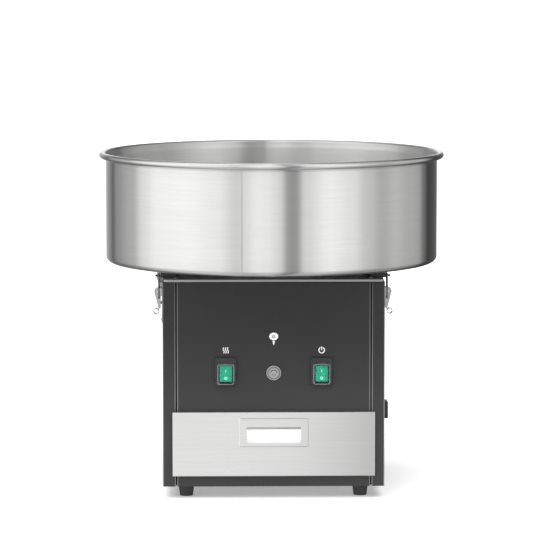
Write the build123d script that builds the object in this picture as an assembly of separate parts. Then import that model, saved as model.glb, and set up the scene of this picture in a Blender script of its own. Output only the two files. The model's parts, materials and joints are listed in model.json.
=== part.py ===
from build123d import *
import os
from math import atan, cos, degrees, pi, sin

# Cotton candy machine, all sizes in millimetres.
# Origin on the floor under the spinner's axis, +Z up, front towards -Y, +X to the right.

# ---- Driving dimensions -------------------------------------------------------------
HOUSING_WIDTH = 327.0
HOUSING_DEPTH = 327.0
HOUSING_TOP = 321.0
FOOT_HEIGHT = 18.6
FOOT_PLACE = 129.0
FOOT_TOP_RADIUS = 12.0
FOOT_BOTTOM_RADIUS = 9.75
FOOT_HOLE_RADIUS = 2.6
SHEET = 1.2                      # housing sheet steel
BASE_THICKNESS = 1.5
FLANGE_WIDTH = 19.2              # side panel wrapped onto the front and the back
PANEL_GAP = 2.0                  # dark joint between a wrapped flange and a centre panel
RETURN_DEPTH = 10.0              # inward bend at the edge of each panel
BEND = 2.0                       # outer bend radius of the housing sheets

DECK_WIDTH = 324.0
DECK_TOP = 325.5
DECK_CORNER = 6.0
DECK_EDGE_ROUND = 1.0
DECK_SCREW_PLACE = 143.0
SEAL_THICKNESS = 1.0
SEAL_OPENING = 272.0

BOWL_RIM_DIAMETER = 520.0
BOWL_OUTER_DIAMETER = 500.0
BOWL_BOTTOM = 337.5
BOWL_TOP = 503.0
BOWL_SHEET = 1.2
BEAD_RADIUS = 4.9
BOWL_CORNER = 8.0
BOWL_HOLE_DIAMETER = 160.0
COLLAR_TOP = 362.0

DRAWER_FRONT_WIDTH = 298.0
DRAWER_FRONT_BOTTOM = 35.0
DRAWER_FRONT_TOP = 130.2
DRAWER_FRONT_DEPTH = 8.0
DRAWER_OPENING_WIDTH = 272.0
DRAWER_OPENING_BOTTOM = 38.0
DRAWER_OPENING_TOP = 127.0
TRAY_WIDTH = 264.0
TRAY_BOTTOM = 40.0
TRAY_TOP = 118.0
TRAY_BACK = 120.0
TRAY_SHEET = 1.0

PULL_WIDTH = 102.0
PULL_BOTTOM = 78.7
PULL_TOP = 121.5
PULL_WINDOW_WIDTH = 80.0
PULL_WINDOW_BOTTOM = 84.3
PULL_WINDOW_TOP = 108.4
PULL_BACK = -150.0

SWITCH_X = 70.5
SWITCH_Z = 186.0
FUSE_Z = 187.5

SHELF_BOTTOM = 130.5
SHAFT_RADIUS = 6.0
SHAFT_BOTTOM = 134.0
RUNNING_FIT = 0.05               # radial clearance of a shaft in its bearing
BODY_GAP = 0.3                   # clearance between pieces that move apart
SCREW_RADIUS = 2.0               # M4 screws of the deck and the head
SCREW_HOLE_RADIUS = 2.1
SCREW_HEAD = (3.9, 2.4)          # radius and height of a pan head

LATCH_Y = 110.0
LEVER_PIVOT = (7.5, 303.0)       # distance from the side wall, height
BAIL_PIVOT = (5.6, 293.0)
WIRE_RADIUS = 1.15
CATCH_TIP = 174.4                # how far the catch reaches to the side
CATCH_TOP = 326.9
CATCH_HALF = 7.0                 # half the catch's width
LATCH_RIVET_HEIGHTS = (260.5, 286.0)
LATCH_BASE_SHEET = 1.2
LATCH_PIN_RADIUS = 1.5
RIVET_RADIUS = 2.0
GRIP = (9.7, 273.0)              # rolled grip of the lever, from the side wall
GRIP_RADIUS = 4.5

INLET_Y = -60.0
INLET_Z = 118.2

# ---- Worked out from them -----------------------------------------------------------
WALL_X = HOUSING_WIDTH / 2
FRONT_Y = -HOUSING_DEPTH / 2
FLANGE_X = WALL_X - FLANGE_WIDTH
PANEL_X = FLANGE_X - PANEL_GAP
INNER_X = WALL_X - SHEET
INNER_Y = -FRONT_Y - SHEET
RETURN_Y = -FRONT_Y - RETURN_DEPTH
BASE_TOP = FOOT_HEIGHT + BASE_THICKNESS
DRAWER_BACK_FACE = FRONT_Y - BODY_GAP
DRAWER_FACE = DRAWER_BACK_FACE - DRAWER_FRONT_DEPTH
CROSSBAR_Z = CATCH_TOP + 0.6 + WIRE_RADIUS
DECK_BOTTOM = HOUSING_TOP + SEAL_THICKNESS
SIDES = (-1, 1)


# ---- Helpers ------------------------------------------------------------------------
def block(x0, x1, y0, y1, z0, z1):
    """Box between two limits on each axis."""
    centre = Pos((x0 + x1) / 2, (y0 + y1) / 2, (z0 + z1) / 2)
    return centre * Box(x1 - x0, y1 - y0, z1 - z0)


def post(radius, z0, z1, x=0.0, y=0.0):
    """Upright cylinder."""
    return Pos(x, y, (z0 + z1) / 2) * Cylinder(radius, z1 - z0)


def rod_y(radius, y0, y1, x=0.0, z=0.0):
    """Cylinder lying along Y."""
    return Pos(x, (y0 + y1) / 2, z) * Rot(90, 0, 0) * Cylinder(radius, y1 - y0)


def rod_x(radius, x0, x1, y=0.0, z=0.0):
    """Cylinder lying along X."""
    return Pos((x0 + x1) / 2, y, z) * Rot(0, 90, 0) * Cylinder(radius, x1 - x0)


def tube(outer, inner, z0, z1, x=0.0, y=0.0):
    """Upright ring."""
    return post(outer, z0, z1, x, y) - post(inner, z0 - 1, z1 + 1, x, y)


def rounded_plate(width, depth, corner, z0, z1, x=0.0, y=0.0):
    """Flat plate with rounded corners, seen from above."""
    outline = Pos(x, y, z0) * RectangleRounded(width, depth, corner)
    return extrude(outline, z1 - z0)


def front_plate(width, height, corner, y0, y1, x=0.0, z=0.0):
    """Upright plate with rounded corners, seen from the front, between y0 and y1."""
    outline = Plane.XZ * RectangleRounded(width, height, corner)
    return Pos(x, y1, z) * extrude(outline, y1 - y0)


def ring_of(count, make, start=0.0):
    """Copies of a piece turned about the spinner's axis."""
    return [Rot(0, 0, start + 360.0 * i / count) * make() for i in range(count)]


def square_of(reach):
    """Four places at the corners of a square about the spinner's axis."""
    return [(x, y) for x in (-reach, reach) for y in (-reach, reach)]


def dome(radius, height):
    """Low round head that stands on the XY plane."""
    ball = (radius * radius + height * height) / (2 * height)
    cap = Pos(0, 0, height - ball) * Sphere(ball)
    return cap & Pos(0, 0, ball) * Box(4 * ball, 4 * ball, 2 * ball)


def save(name, *pieces):
    """One STEP file for one named sub-part, holding one or more separate solids."""
    solids = [solid for piece in pieces for solid in piece.solids()]
    shape = solids[0] if len(solids) == 1 else Compound(children=solids)
    export_step(shape, f"parts/{name}.step")


# ---- Housing ------------------------------------------------------------------------
def bent_sheet(points, z0, z1):
    """Upright sheet that follows an outer line, with its bends rounded."""
    outer_line = FilletPolyline(*points, radius=BEND)
    profile = make_face(offset(outer_line, SHEET, side=Side.LEFT, closed=True))
    return Pos(0, 0, z0) * extrude(profile, z1 - z0)


def base_block():
    """The room that the base plate takes inside the panels."""
    return block(-INNER_X, INNER_X, -INNER_Y, INNER_Y, FOOT_HEIGHT, BASE_TOP)


def base_plate():
    """Floor of the housing, with foot holes and air slots under the motor."""
    plate = base_block()
    for x, y in foot_places():
        plate -= post(FOOT_HOLE_RADIUS, FOOT_HEIGHT - 1, BASE_TOP + 1, x, y)
    for i in range(7):
        slot = Pos(0, (i - 3) * 12.0, FOOT_HEIGHT - 1) * SlotOverall(90.0, 5.0)
        plate -= extrude(slot, BASE_THICKNESS + 2)
    return plate


def latch_rivet_places():
    """Heights and depths of the rivets that hold the latches on a side wall."""
    return [(y, z) for y in (-LATCH_Y, LATCH_Y) for z in LATCH_RIVET_HEIGHTS]


def right_side_panel():
    """Side sheet wrapped onto the front and back, with the inlet's cut-out."""
    line = [
        (FLANGE_X, -RETURN_Y),
        (FLANGE_X, FRONT_Y),
        (WALL_X, FRONT_Y),
        (WALL_X, -FRONT_Y),
        (FLANGE_X, -FRONT_Y),
        (FLANGE_X, RETURN_Y),
    ]
    panel = bent_sheet(line, FOOT_HEIGHT, HOUSING_TOP) - base_block()
    for y, z in latch_rivet_places():
        panel -= rod_x(RIVET_RADIUS, INNER_X - 1, WALL_X + 1, y, z)
    return panel


def inlet_cutout():
    return block(INNER_X - 1, WALL_X + 1, INLET_Y - 13.5, INLET_Y + 13.5, INLET_Z - 10, INLET_Z + 10)


def centre_panel():
    """Plain sheet between the flanges, facing the front."""
    line = [
        (-PANEL_X, -RETURN_Y),
        (-PANEL_X, FRONT_Y),
        (PANEL_X, FRONT_Y),
        (PANEL_X, -RETURN_Y),
    ]
    return bent_sheet(line, FOOT_HEIGHT, HOUSING_TOP) - base_block()


def front_panel():
    """Front sheet with the drawer's opening and the holes of the switches and the fuse."""
    panel = centre_panel()
    half = DRAWER_OPENING_WIDTH / 2
    panel -= block(-half, half, FRONT_Y - 1, FRONT_Y + 2, DRAWER_OPENING_BOTTOM, DRAWER_OPENING_TOP)
    for side in SIDES:
        x = side * SWITCH_X
        panel -= block(x - 11.1, x + 11.1, FRONT_Y - 1, FRONT_Y + 2, SWITCH_Z - 14.1, SWITCH_Z + 14.1)
    return panel - rod_y(FUSE_BARREL_RADIUS + 0.1, FRONT_Y - 1, FRONT_Y + 2, 0, FUSE_Z)


def rear_panel():
    """Back sheet with two columns of cooling slots."""
    panel = Rot(0, 0, 180) * centre_panel()
    for side in SIDES:
        for i in range(9):
            slot = front_plate(80.0, 4.0, 1.9, INNER_Y - 1, INNER_Y + 3, side * 62.0, 190.0 + i * 11.0)
            panel -= slot
    return panel


def corner_posts():
    """Four angles behind the panel joints, each with a tab that takes a deck screw."""
    posts = []
    for side in SIDES:
        for end in SIDES:
            front_leg = block(137, INNER_X, -RETURN_Y, 2 - RETURN_Y, BASE_TOP, HOUSING_TOP)
            side_leg = block(INNER_X - 2, INNER_X, 2 - RETURN_Y, -128, BASE_TOP, HOUSING_TOP)
            tab = block(137, INNER_X - 2, 2 - RETURN_Y, -136, HOUSING_TOP - 2, HOUSING_TOP)
            reach = DECK_SCREW_PLACE
            hole = post(SCREW_HOLE_RADIUS, HOUSING_TOP - 5, HOUSING_TOP + 5, reach, -reach)
            angle = front_leg + side_leg + tab - hole
            if side < 0:
                angle = mirror(angle, about=Plane.YZ)
            if end > 0:
                angle = mirror(angle, about=Plane.XZ)
            posts.append(angle)
    return posts


def deck_plate():
    """Stainless top plate with turned-down edges."""
    outer = rounded_plate(DECK_WIDTH, DECK_WIDTH, DECK_CORNER, DECK_BOTTOM, DECK_TOP)
    outer = fillet(outer.edges().group_by(Axis.Z)[-1], DECK_EDGE_ROUND)
    inside = DECK_WIDTH - 2 * SHEET
    plate = outer - rounded_plate(inside, inside, DECK_CORNER - SHEET, DECK_BOTTOM - 1, DECK_TOP - SHEET)
    plate -= post(14.0, DECK_BOTTOM - 1, DECK_TOP + 1)
    for x, y in deck_screw_places() + standoff_places():
        plate -= post(SCREW_HOLE_RADIUS, DECK_BOTTOM - 1, DECK_TOP + 1, x, y)
    return plate


def deck_seal():
    """Flat rubber frame between the housing's top edges and the deck plate."""
    outer = rounded_plate(DECK_WIDTH - 1, DECK_WIDTH - 1, DECK_CORNER, HOUSING_TOP, DECK_BOTTOM)
    seal = outer - rounded_plate(SEAL_OPENING, SEAL_OPENING, 4.0, HOUSING_TOP - 1, DECK_BOTTOM + 1)
    for x, y in deck_screw_places():
        seal -= post(SCREW_HOLE_RADIUS, HOUSING_TOP - 1, DECK_BOTTOM + 1, x, y)
    return seal


def deck_screw_places():
    return square_of(DECK_SCREW_PLACE)


def deck_screws():
    """Pan head screws through the deck, the seal and the tabs."""
    screws = []
    for x, y in deck_screw_places():
        screw = Pos(x, y, DECK_TOP) * dome(*SCREW_HEAD) + post(SCREW_RADIUS, HOUSING_TOP - 4, DECK_TOP, x, y)
        for turn in (0, 90):
            screw -= Pos(x, y, DECK_TOP + 2.2) * Rot(0, 0, turn) * Box(4.2, 0.9, 1.8)
        screws.append(screw)
    return screws


def drawer_shelf():
    """Sheet that parts the drawer's room from the motor's."""
    shelf = block(2 - INNER_X, INNER_X - 2, 2 - RETURN_Y, RETURN_Y - 2, SHELF_BOTTOM, SHELF_BOTTOM + SHEET)
    for i in range(5):
        slot = Pos(0, (i - 2) * 14.0, SHELF_BOTTOM - 1) * SlotOverall(70.0, 5.0)
        shelf -= extrude(slot, SHEET + 2)
    return shelf


def drawer_runners():
    """Two bent rails that stand on the base plate and carry the tray."""
    upright = block(134.0, 135.2, -148, 124, BASE_TOP, 62)
    ledge = block(122.0, 134.0, -148, 124, TRAY_BOTTOM - 1.7, TRAY_BOTTOM - 0.5)
    footing = block(135.2, 150.0, -148, 124, BASE_TOP, BASE_TOP + SHEET)
    right = upright + ledge + footing
    for y in (-100, 0, 100):
        right -= post(2.2, BASE_TOP - 1, BASE_TOP + 2, 143, y)
    return [right, mirror(right, about=Plane.YZ)]


# ---- Feet ---------------------------------------------------------------------------
def foot_places():
    return square_of(FOOT_PLACE)


def rubber_feet():
    """Tapered rubber feet with a recess for the screw's head."""
    feet = []
    for x, y in foot_places():
        cone = Pos(x, y, FOOT_HEIGHT / 2) * Cone(FOOT_BOTTOM_RADIUS, FOOT_TOP_RADIUS, FOOT_HEIGHT)
        cone = fillet(cone.edges().group_by(Axis.Z)[0], 0.8)
        foot = cone - post(5.5, -1, 9, x, y) - post(FOOT_HOLE_RADIUS, 0, FOOT_HEIGHT + 1, x, y)
        feet.append(foot)
    return feet


def foot_screws():
    """Screw with a washer face, and a hexagon nut on the base plate."""
    screws = []
    for x, y in foot_places():
        screw = post(4.6, 6.2, 9.0, x, y) + post(2.5, 9.0, 27.0, x, y)
        screw -= Pos(x, y, 6.4) * Box(6.0, 1.0, 1.6)
        screw += Pos(x, y, BASE_TOP) * extrude(RegularPolygon(4.6, 6), 4.0)
        screws.append(screw)
    return screws


# ---- Drive --------------------------------------------------------------------------
MOTOR_BOTTOM = 150.0
MOTOR_PLATE_BOTTOM = 236.0
MOTOR_PLATE_TOP = 239.0
BEARING_RADIUS = 13.0
BEARING_WIDTH = 8.0
MOTOR_RADIUS = 46.0
STATOR_RADIUS = 44.0
STATOR_BORE = 28.0
ROTOR_RADIUS = 27.4
FAN_RADIUS = 42.0
STANDOFF_PLACE = 58.0


def standoff_places():
    return square_of(STANDOFF_PLACE)


def motor_standoffs():
    """Posts that hang the motor plate under the deck, each with its screw head on top."""
    pillars = []
    for x, y in standoff_places():
        pillar = post(6.0, MOTOR_PLATE_TOP, DECK_TOP - SHEET, x, y)
        screw = post(SCREW_RADIUS, DECK_TOP - SHEET, DECK_TOP, x, y)
        screw += Pos(x, y, DECK_TOP) * dome(*SCREW_HEAD)
        screw -= Pos(x, y, DECK_TOP + 2.2) * Box(4.2, 0.9, 1.8)
        pillars.append(pillar + screw)
    return pillars


def motor_plate():
    """Square plate that the motor hangs from."""
    plate = rounded_plate(140, 140, 10.0, MOTOR_PLATE_BOTTOM, MOTOR_PLATE_TOP)
    return plate - post(BEARING_RADIUS, MOTOR_PLATE_BOTTOM - 1, MOTOR_PLATE_TOP + 1)


def motor_can():
    """Round shell of the motor with air slots round its lower edge."""
    can = tube(MOTOR_RADIUS, STATOR_RADIUS, MOTOR_BOTTOM + BEARING_WIDTH, MOTOR_PLATE_BOTTOM)
    for slot in ring_of(12, lambda: block(40, 50, -4, 4, 165, 183)):
        can -= slot
    return can


def motor_stator():
    """Laminated stator that fills the shell round the rotor."""
    stator = tube(STATOR_RADIUS, STATOR_BORE, 186, 226)
    for slot in ring_of(8, lambda: block(27, 36, -3, 3, 180, 230), 22.5):
        stator -= slot
    return stator


def motor_end_bell():
    """Lower cover of the motor, with the lower bearing's seat and air openings."""
    bell = tube(MOTOR_RADIUS, BEARING_RADIUS, MOTOR_BOTTOM, MOTOR_BOTTOM + BEARING_WIDTH)
    for hole in ring_of(6, lambda: post(6.5, MOTOR_BOTTOM - 1, MOTOR_BOTTOM + 9, 30, 0)):
        bell -= hole
    return bell


def shaft_bearings():
    """Ball bearings of the shaft, in the end bell and in the motor plate."""
    inner = SHAFT_RADIUS + RUNNING_FIT
    lower = tube(BEARING_RADIUS, inner, MOTOR_BOTTOM, MOTOR_BOTTOM + BEARING_WIDTH)
    upper = tube(BEARING_RADIUS, inner, MOTOR_PLATE_TOP - BEARING_WIDTH, MOTOR_PLATE_TOP)
    return [lower, upper]


def brush_holder():
    """Plastic block on the motor plate that guides the two brushes onto the slip rings."""
    holder = block(26, 58, -12, 12, MOTOR_PLATE_TOP, 300) - block(25, 45, -13, 13, MOTOR_PLATE_TOP + 6, 262)
    for z in ring_heights():
        holder -= block(25, 50, -4, 4, z - 3, z + 3)
    return holder


def ring_heights():
    return (272.0, 288.0)


def carbon_brushes():
    return [block(RING_OUTER + 0.1, 44, -4, 4, z - 3, z + 3) for z in ring_heights()]


def shaft_seal():
    """Rubber grommet in the deck round the shaft."""
    lips = post(17.0, DECK_TOP, DECK_TOP + 2.5) + post(17.0, DECK_TOP - SHEET - 2.5, DECK_TOP - SHEET)
    seal = lips + post(14.0, DECK_TOP - SHEET, DECK_TOP)
    return seal - post(SHAFT_RADIUS + BODY_GAP, DECK_BOTTOM - 3, DECK_TOP + 4)


# ---- Spinner ------------------------------------------------------------------------
HEAD_BASE_BOTTOM = 388.0
HEAD_BASE_TOP = 391.0
HEAD_HUB_BOTTOM = 368.0
BAND_TOP = 425.0
CAP_TOP = 428.0
HEAD_RADIUS = 64.0
HEAD_HUB_RADIUS = 15.0
HEAD_SPIGOT_RADIUS = 5.0         # stepped upper end of the shaft
BAND_RADIUS = 62.2
SUGAR_HOLE_RADIUS = 24.0
HEATER_RADIUS = 53.0
HEATER_HEIGHT = 408.0
RING_OUTER = 20.0
RING_INNER = 15.0


def spinner_shaft():
    """Stepped shaft from the fan under the motor up into the head."""
    shaft = post(SHAFT_RADIUS, SHAFT_BOTTOM, HEAD_BASE_BOTTOM)
    return shaft + post(HEAD_SPIGOT_RADIUS, HEAD_BASE_BOTTOM, 402)


def motor_rotor():
    return tube(ROTOR_RADIUS, SHAFT_RADIUS, 184, 228)


def cooling_fan():
    """Radial fan on the shaft's lower end."""
    fan = tube(10.0, SHAFT_RADIUS, 135, 148) + tube(FAN_RADIUS, SHAFT_RADIUS, 135, 136.2)
    for blade in ring_of(9, lambda: block(9, 41, -0.7, 0.7, 136, 147)):
        fan += blade
    return fan


def slip_ring_hub():
    """Insulating sleeve with grooves for the two slip rings."""
    hub = tube(18.0, SHAFT_RADIUS, 262, 298)
    for z in ring_heights():
        hub -= tube(RING_OUTER, RING_INNER, z - 4, z + 4)
    return hub


def slip_rings():
    return [tube(RING_OUTER, RING_INNER, z - 4, z + 4) for z in ring_heights()]


def head_base():
    """Turned aluminium base of the head, with its hub and a lip for the band."""
    base = post(HEAD_RADIUS, HEAD_BASE_BOTTOM, HEAD_BASE_TOP)
    base += post(HEAD_HUB_RADIUS, HEAD_HUB_BOTTOM, HEAD_BASE_BOTTOM)
    base += tube(61.0, 59.0, HEAD_BASE_TOP, HEAD_BASE_TOP + 3)
    base -= post(SHAFT_RADIUS, HEAD_HUB_BOTTOM - 1, HEAD_BASE_BOTTOM)
    return base - post(HEAD_SPIGOT_RADIUS, HEAD_BASE_BOTTOM - 1, HEAD_BASE_TOP + 1)


def floss_band():
    """Perforated band that the melted sugar is thrown through."""
    band = tube(BAND_RADIUS, BAND_RADIUS - SHEET, HEAD_BASE_TOP, BAND_TOP)
    for slit in ring_of(36, lambda: block(58, 66, -1.1, 1.1, HEAD_BASE_TOP + 6, BAND_TOP - 6)):
        band -= slit
    return band


def heater_ring():
    """Tubular heater behind the band, on three small clamps."""
    element = Pos(0, 0, HEATER_HEIGHT) * Torus(HEATER_RADIUS, 3.2)
    for clamp in ring_of(3, lambda: block(48.5, 51.5, -2.5, 2.5, HEAD_BASE_TOP, HEATER_HEIGHT), 30.0):
        element += clamp
    return element


def head_cap():
    """Lid of the head: a flat ring with a turned-down edge and a funnel to the sugar."""
    plate = tube(HEAD_RADIUS, SUGAR_HOLE_RADIUS, BAND_TOP, CAP_TOP)
    edge = tube(HEAD_RADIUS, 62.5, BAND_TOP - 4, BAND_TOP)
    neck = tube(SUGAR_HOLE_RADIUS + 1.5, SUGAR_HOLE_RADIUS, BAND_TOP - 8, BAND_TOP + 9)
    cap = plate + edge + neck
    for x, y in head_screw_places():
        cap -= post(SCREW_HOLE_RADIUS, BAND_TOP - 1, BAND_TOP + 4, x, y)
    return cap


def head_screw_places():
    return [(40.0 * cos(a), 40.0 * sin(a)) for a in (pi / 6, 5 * pi / 6, 3 * pi / 2)]


def head_screws():
    """Three long screws that clamp the cap and the band onto the base."""
    screws = []
    for x, y in head_screw_places():
        shank = post(SCREW_RADIUS, HEAD_BASE_TOP, CAP_TOP, x, y)
        head = post(3.8, CAP_TOP, CAP_TOP + 3, x, y)
        head -= Pos(x, y, CAP_TOP + 2.6) * Box(8.0, 1.0, 1.6)
        spacer = tube(3.2, SCREW_RADIUS, HEAD_BASE_TOP, BAND_TOP, x, y)
        screws.append(shank + head + spacer)
    return screws


def head_nut():
    """Hexagon nut that holds the head on the shaft."""
    nut = Pos(0, 0, HEAD_BASE_TOP) * extrude(RegularPolygon(9.5, 6), 8.0)
    return nut - post(HEAD_SPIGOT_RADIUS, HEAD_BASE_TOP - 1, 400)


# ---- Bowl ---------------------------------------------------------------------------
def bowl_line():
    """Middle of the bowl's sheet in the XZ plane, from the collar's top to the rolled rim."""
    half = BOWL_SHEET / 2
    wall = BOWL_OUTER_DIAMETER / 2 - half
    hole = BOWL_HOLE_DIAMETER / 2
    floor = BOWL_BOTTOM + half
    bead = BEAD_RADIUS - half
    bead_left = BOWL_RIM_DIAMETER / 2 - BEAD_RADIUS - bead
    bead_height = BOWL_TOP - BEAD_RADIUS
    flare_start = bead_height - 9.0
    half_turn = atan((bead_left - wall) / (bead_height - flare_start))
    turn = degrees(2 * half_turn)
    flare = (bead_height - flare_start) / 2 / sin(2 * half_turn)
    pan = FilletPolyline(
        (hole, COLLAR_TOP), (hole, floor), (wall, floor), (wall, flare_start), radius=BOWL_CORNER
    )
    out = JernArc(start=(wall, flare_start), tangent=(0, 1), radius=flare, arc_size=-turn)
    back = JernArc(start=out @ 1, tangent=out % 1, radius=flare, arc_size=turn)
    curl = JernArc(start=back @ 1, tangent=back % 1, radius=bead, arc_size=-300)
    return pan.edges() + out.edges() + back.edges() + curl.edges()


def bowl_pan():
    """Spun pan with a rolled rim and an upturned collar round its centre hole."""
    line = Wire(bowl_line())
    section = make_face(line.offset_2d(BOWL_SHEET / 2, side=Side.BOTH))
    pan = revolve(Plane.XZ * section, Axis.Z, 360)
    for x, y, z in bowl_rivet_places():
        pan -= post(2.0, z - 3, z + 3, x, y)
    return pan


def bowl_rivet_places():
    return [(x, y, BOWL_BOTTOM) for x in (-153.0, 153.0) for y in (-127.0, -98.0, 98.0, 127.0)]


def bowl_brackets():
    """Four bent brackets that carry the bowl on the deck, each with a catch for a latch."""
    bottom = DECK_TOP + BODY_GAP
    outer = block(143, 166, -139, -86, bottom, BOWL_BOTTOM)
    hollow = block(145, 164, -137, -88, bottom - 1, BOWL_BOTTOM - 2)
    apron = block(164, 166, -LATCH_Y - CATCH_HALF, -LATCH_Y + CATCH_HALF, CATCH_TOP - 2.1, BOWL_BOTTOM)
    profile = Plane.XZ * make_face(
        Polyline(
            (164, CATCH_TOP - 2.1),
            (CATCH_TIP - 1.4, CATCH_TOP - 1.8),
            (CATCH_TIP, CATCH_TOP - 0.5),
            (CATCH_TIP - 0.4, CATCH_TOP),
            (166, CATCH_TOP - 0.6),
            (164, CATCH_TOP - 0.6),
            close=True,
        )
    )
    catch = Pos(0, CATCH_HALF - LATCH_Y, 0) * extrude(profile, 2 * CATCH_HALF)
    bracket = outer - hollow + apron + catch
    for x, y, z in bowl_rivet_places():
        if x > 0 and y < 0:
            bracket -= post(2.0, z - 3, z + 3, x, y)
    right = [bracket, mirror(bracket, about=Plane.XZ)]
    return right + [mirror(piece, about=Plane.YZ) for piece in right]


def bowl_rivets():
    """Rivets through the bowl's floor into the brackets."""
    rivets = []
    for x, y, z in bowl_rivet_places():
        shank = post(2.0, z - 2, z + BOWL_SHEET, x, y)
        head = Pos(x, y, z + BOWL_SHEET) * dome(3.6, 1.5)
        tail = post(3.0, z - 3.2, z - 2, x, y)
        rivets.append(shank + head + tail)
    return rivets


# ---- Drawer -------------------------------------------------------------------------
def pull_hole(width_extra=0.0):
    """Room for the pull's scoop in the sheets that it passes."""
    half = PULL_WINDOW_WIDTH / 2 + 2.0 + width_extra
    return half, PULL_WINDOW_BOTTOM - 2.0, PULL_TOP - 3.0


def drawer_tray():
    """Open tray with a stop bend along its back edge."""
    half = TRAY_WIDTH / 2
    tray = block(-half, half, DRAWER_BACK_FACE, TRAY_BACK, TRAY_BOTTOM, TRAY_TOP)
    tray = fillet(tray.edges().filter_by(Axis.Z), 3.0)
    inside = block(
        TRAY_SHEET - half,
        half - TRAY_SHEET,
        DRAWER_BACK_FACE + TRAY_SHEET,
        TRAY_BACK - TRAY_SHEET,
        TRAY_BOTTOM + TRAY_SHEET,
        TRAY_TOP + 1,
    )
    inside = fillet(inside.edges().filter_by(Axis.Z), 2.0)
    hole_half, low, high = pull_hole(0.2)
    opening = block(-hole_half, hole_half, DRAWER_BACK_FACE - 1, DRAWER_BACK_FACE + 2, low - 0.2, high + 0.2)
    return tray - inside - opening


def drawer_front():
    """Brushed stainless front, folded back round all four sides."""
    half = DRAWER_FRONT_WIDTH / 2
    pan = block(-half, half, DRAWER_FACE, DRAWER_BACK_FACE, DRAWER_FRONT_BOTTOM, DRAWER_FRONT_TOP)
    pan = fillet(pan.faces().sort_by(Axis.Y)[0].edges(), 0.9)
    inside = block(
        TRAY_SHEET - half,
        half - TRAY_SHEET,
        DRAWER_FACE + TRAY_SHEET,
        DRAWER_BACK_FACE + 1,
        DRAWER_FRONT_BOTTOM + TRAY_SHEET,
        DRAWER_FRONT_TOP - TRAY_SHEET,
    )
    hole_half, low, high = pull_hole()
    opening = block(-hole_half, hole_half, DRAWER_FACE - 1, DRAWER_FACE + 2, low, high)
    return pan - inside - opening


def pull_cup():
    """Flush pull: a raised plate with a window, and behind it a scoop that fingers hook up into."""
    middle = (PULL_BOTTOM + PULL_TOP) / 2
    plate = front_plate(
        PULL_WIDTH, PULL_TOP - PULL_BOTTOM, 1.2, DRAWER_FACE - 1.4, DRAWER_FACE, 0, middle
    )
    plate = chamfer(plate.faces().sort_by(Axis.Y)[0].edges(), 1.0)
    half, low, high = pull_hole()
    outer = Plane.YZ * make_face(
        Polyline(
            (DRAWER_FACE, low), (DRAWER_FACE, high), (PULL_BACK, high), (PULL_BACK, low + 4.0), close=True
        )
    )
    inner = Plane.YZ * make_face(
        Polyline(
            (DRAWER_FACE - 3, low + 0.8),
            (DRAWER_FACE - 3, high - 1.2),
            (PULL_BACK - 1.2, high - 1.2),
            (PULL_BACK - 1.2, low + 5.0),
            (DRAWER_FACE + 1, low + 2.0),
            close=True,
        )
    )
    scoop = Pos(-half, 0, 0) * extrude(outer, 2 * half)
    cavity = Pos(1.2 - half, 0, 0) * extrude(inner, 2 * half - 2.4)
    cavity -= block(-half, half, DRAWER_FACE - 4, DRAWER_FACE, 0, 400)
    window = front_plate(
        PULL_WINDOW_WIDTH,
        PULL_WINDOW_TOP - PULL_WINDOW_BOTTOM,
        1.5,
        DRAWER_FACE - 3,
        DRAWER_FACE + 0.5,
        0,
        (PULL_WINDOW_BOTTOM + PULL_WINDOW_TOP) / 2,
    )
    lip = Plane.YZ * make_face(
        Polyline(
            (DRAWER_FACE - 0.9, PULL_WINDOW_TOP + 0.6),
            (DRAWER_FACE + 2.6, PULL_WINDOW_TOP - 4.2),
            (DRAWER_FACE + 3.4, PULL_WINDOW_TOP - 3.6),
            (DRAWER_FACE + 0.6, PULL_WINDOW_TOP + 0.6),
            close=True,
        )
    )
    grip = Pos(-PULL_WINDOW_WIDTH / 2, 0, 0) * extrude(lip, PULL_WINDOW_WIDTH)
    return plate + scoop - cavity - window + grip


# ---- Controls -----------------------------------------------------------------------
ROCKER_PIVOT_Y = FRONT_Y + 3.0
ROCKER_PIVOT_Z = SWITCH_Z - 0.6
ROCKER_PIN_RADIUS = 1.2
ROCKER_TILT = 7.0
ROCKER_HALF_WIDTH = 8.8
ROCKER_HALF_HEIGHT = 11.5
SWITCH_HALF_WIDTH = 11.0
SWITCH_HALF_HEIGHT = 14.0
SWITCH_BEZEL = (25.0, 30.6)
BOOT_FRAME = (32.0, 42.0)
BOOT_FRAME_Z = SWITCH_Z + 3.4     # its upper border is the wider one
BOOT_OPENING = (25.6, 31.2)
BOOT_WINDOW = (25.4, 31.0)
BOOT_SHEET = 0.8
FUSE_FLANGE_RADIUS = 10.75
FUSE_BARREL_RADIUS = 8.0
FUSE_CAP_RADIUS = 6.6


def switch_body(x):
    """Snap-in switch case with its bezel, open for the rocker, and three tabs behind."""
    half = SWITCH_HALF_HEIGHT
    left, right = x - SWITCH_HALF_WIDTH, x + SWITCH_HALF_WIDTH
    case = block(left, right, FRONT_Y, FRONT_Y + 24, SWITCH_Z - half, SWITCH_Z + half)
    bezel = front_plate(*SWITCH_BEZEL, 1.5, FRONT_Y - 2.0, FRONT_Y, x, SWITCH_Z)
    well = block(x - 9.3, x + 9.3, FRONT_Y - 3, FRONT_Y + 12, SWITCH_Z - 13.2, SWITCH_Z + 12.0)
    body = case + bezel - well
    body -= rod_x(ROCKER_PIN_RADIUS + RUNNING_FIT, x - 10.2, x + 10.2, ROCKER_PIVOT_Y, ROCKER_PIVOT_Z)
    for dz in (-8, 0, 8):
        body += block(x - 3.1, x + 3.1, FRONT_Y + 24, FRONT_Y + 33, SWITCH_Z + dz - 0.4, SWITCH_Z + dz + 0.4)
    return body


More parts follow.
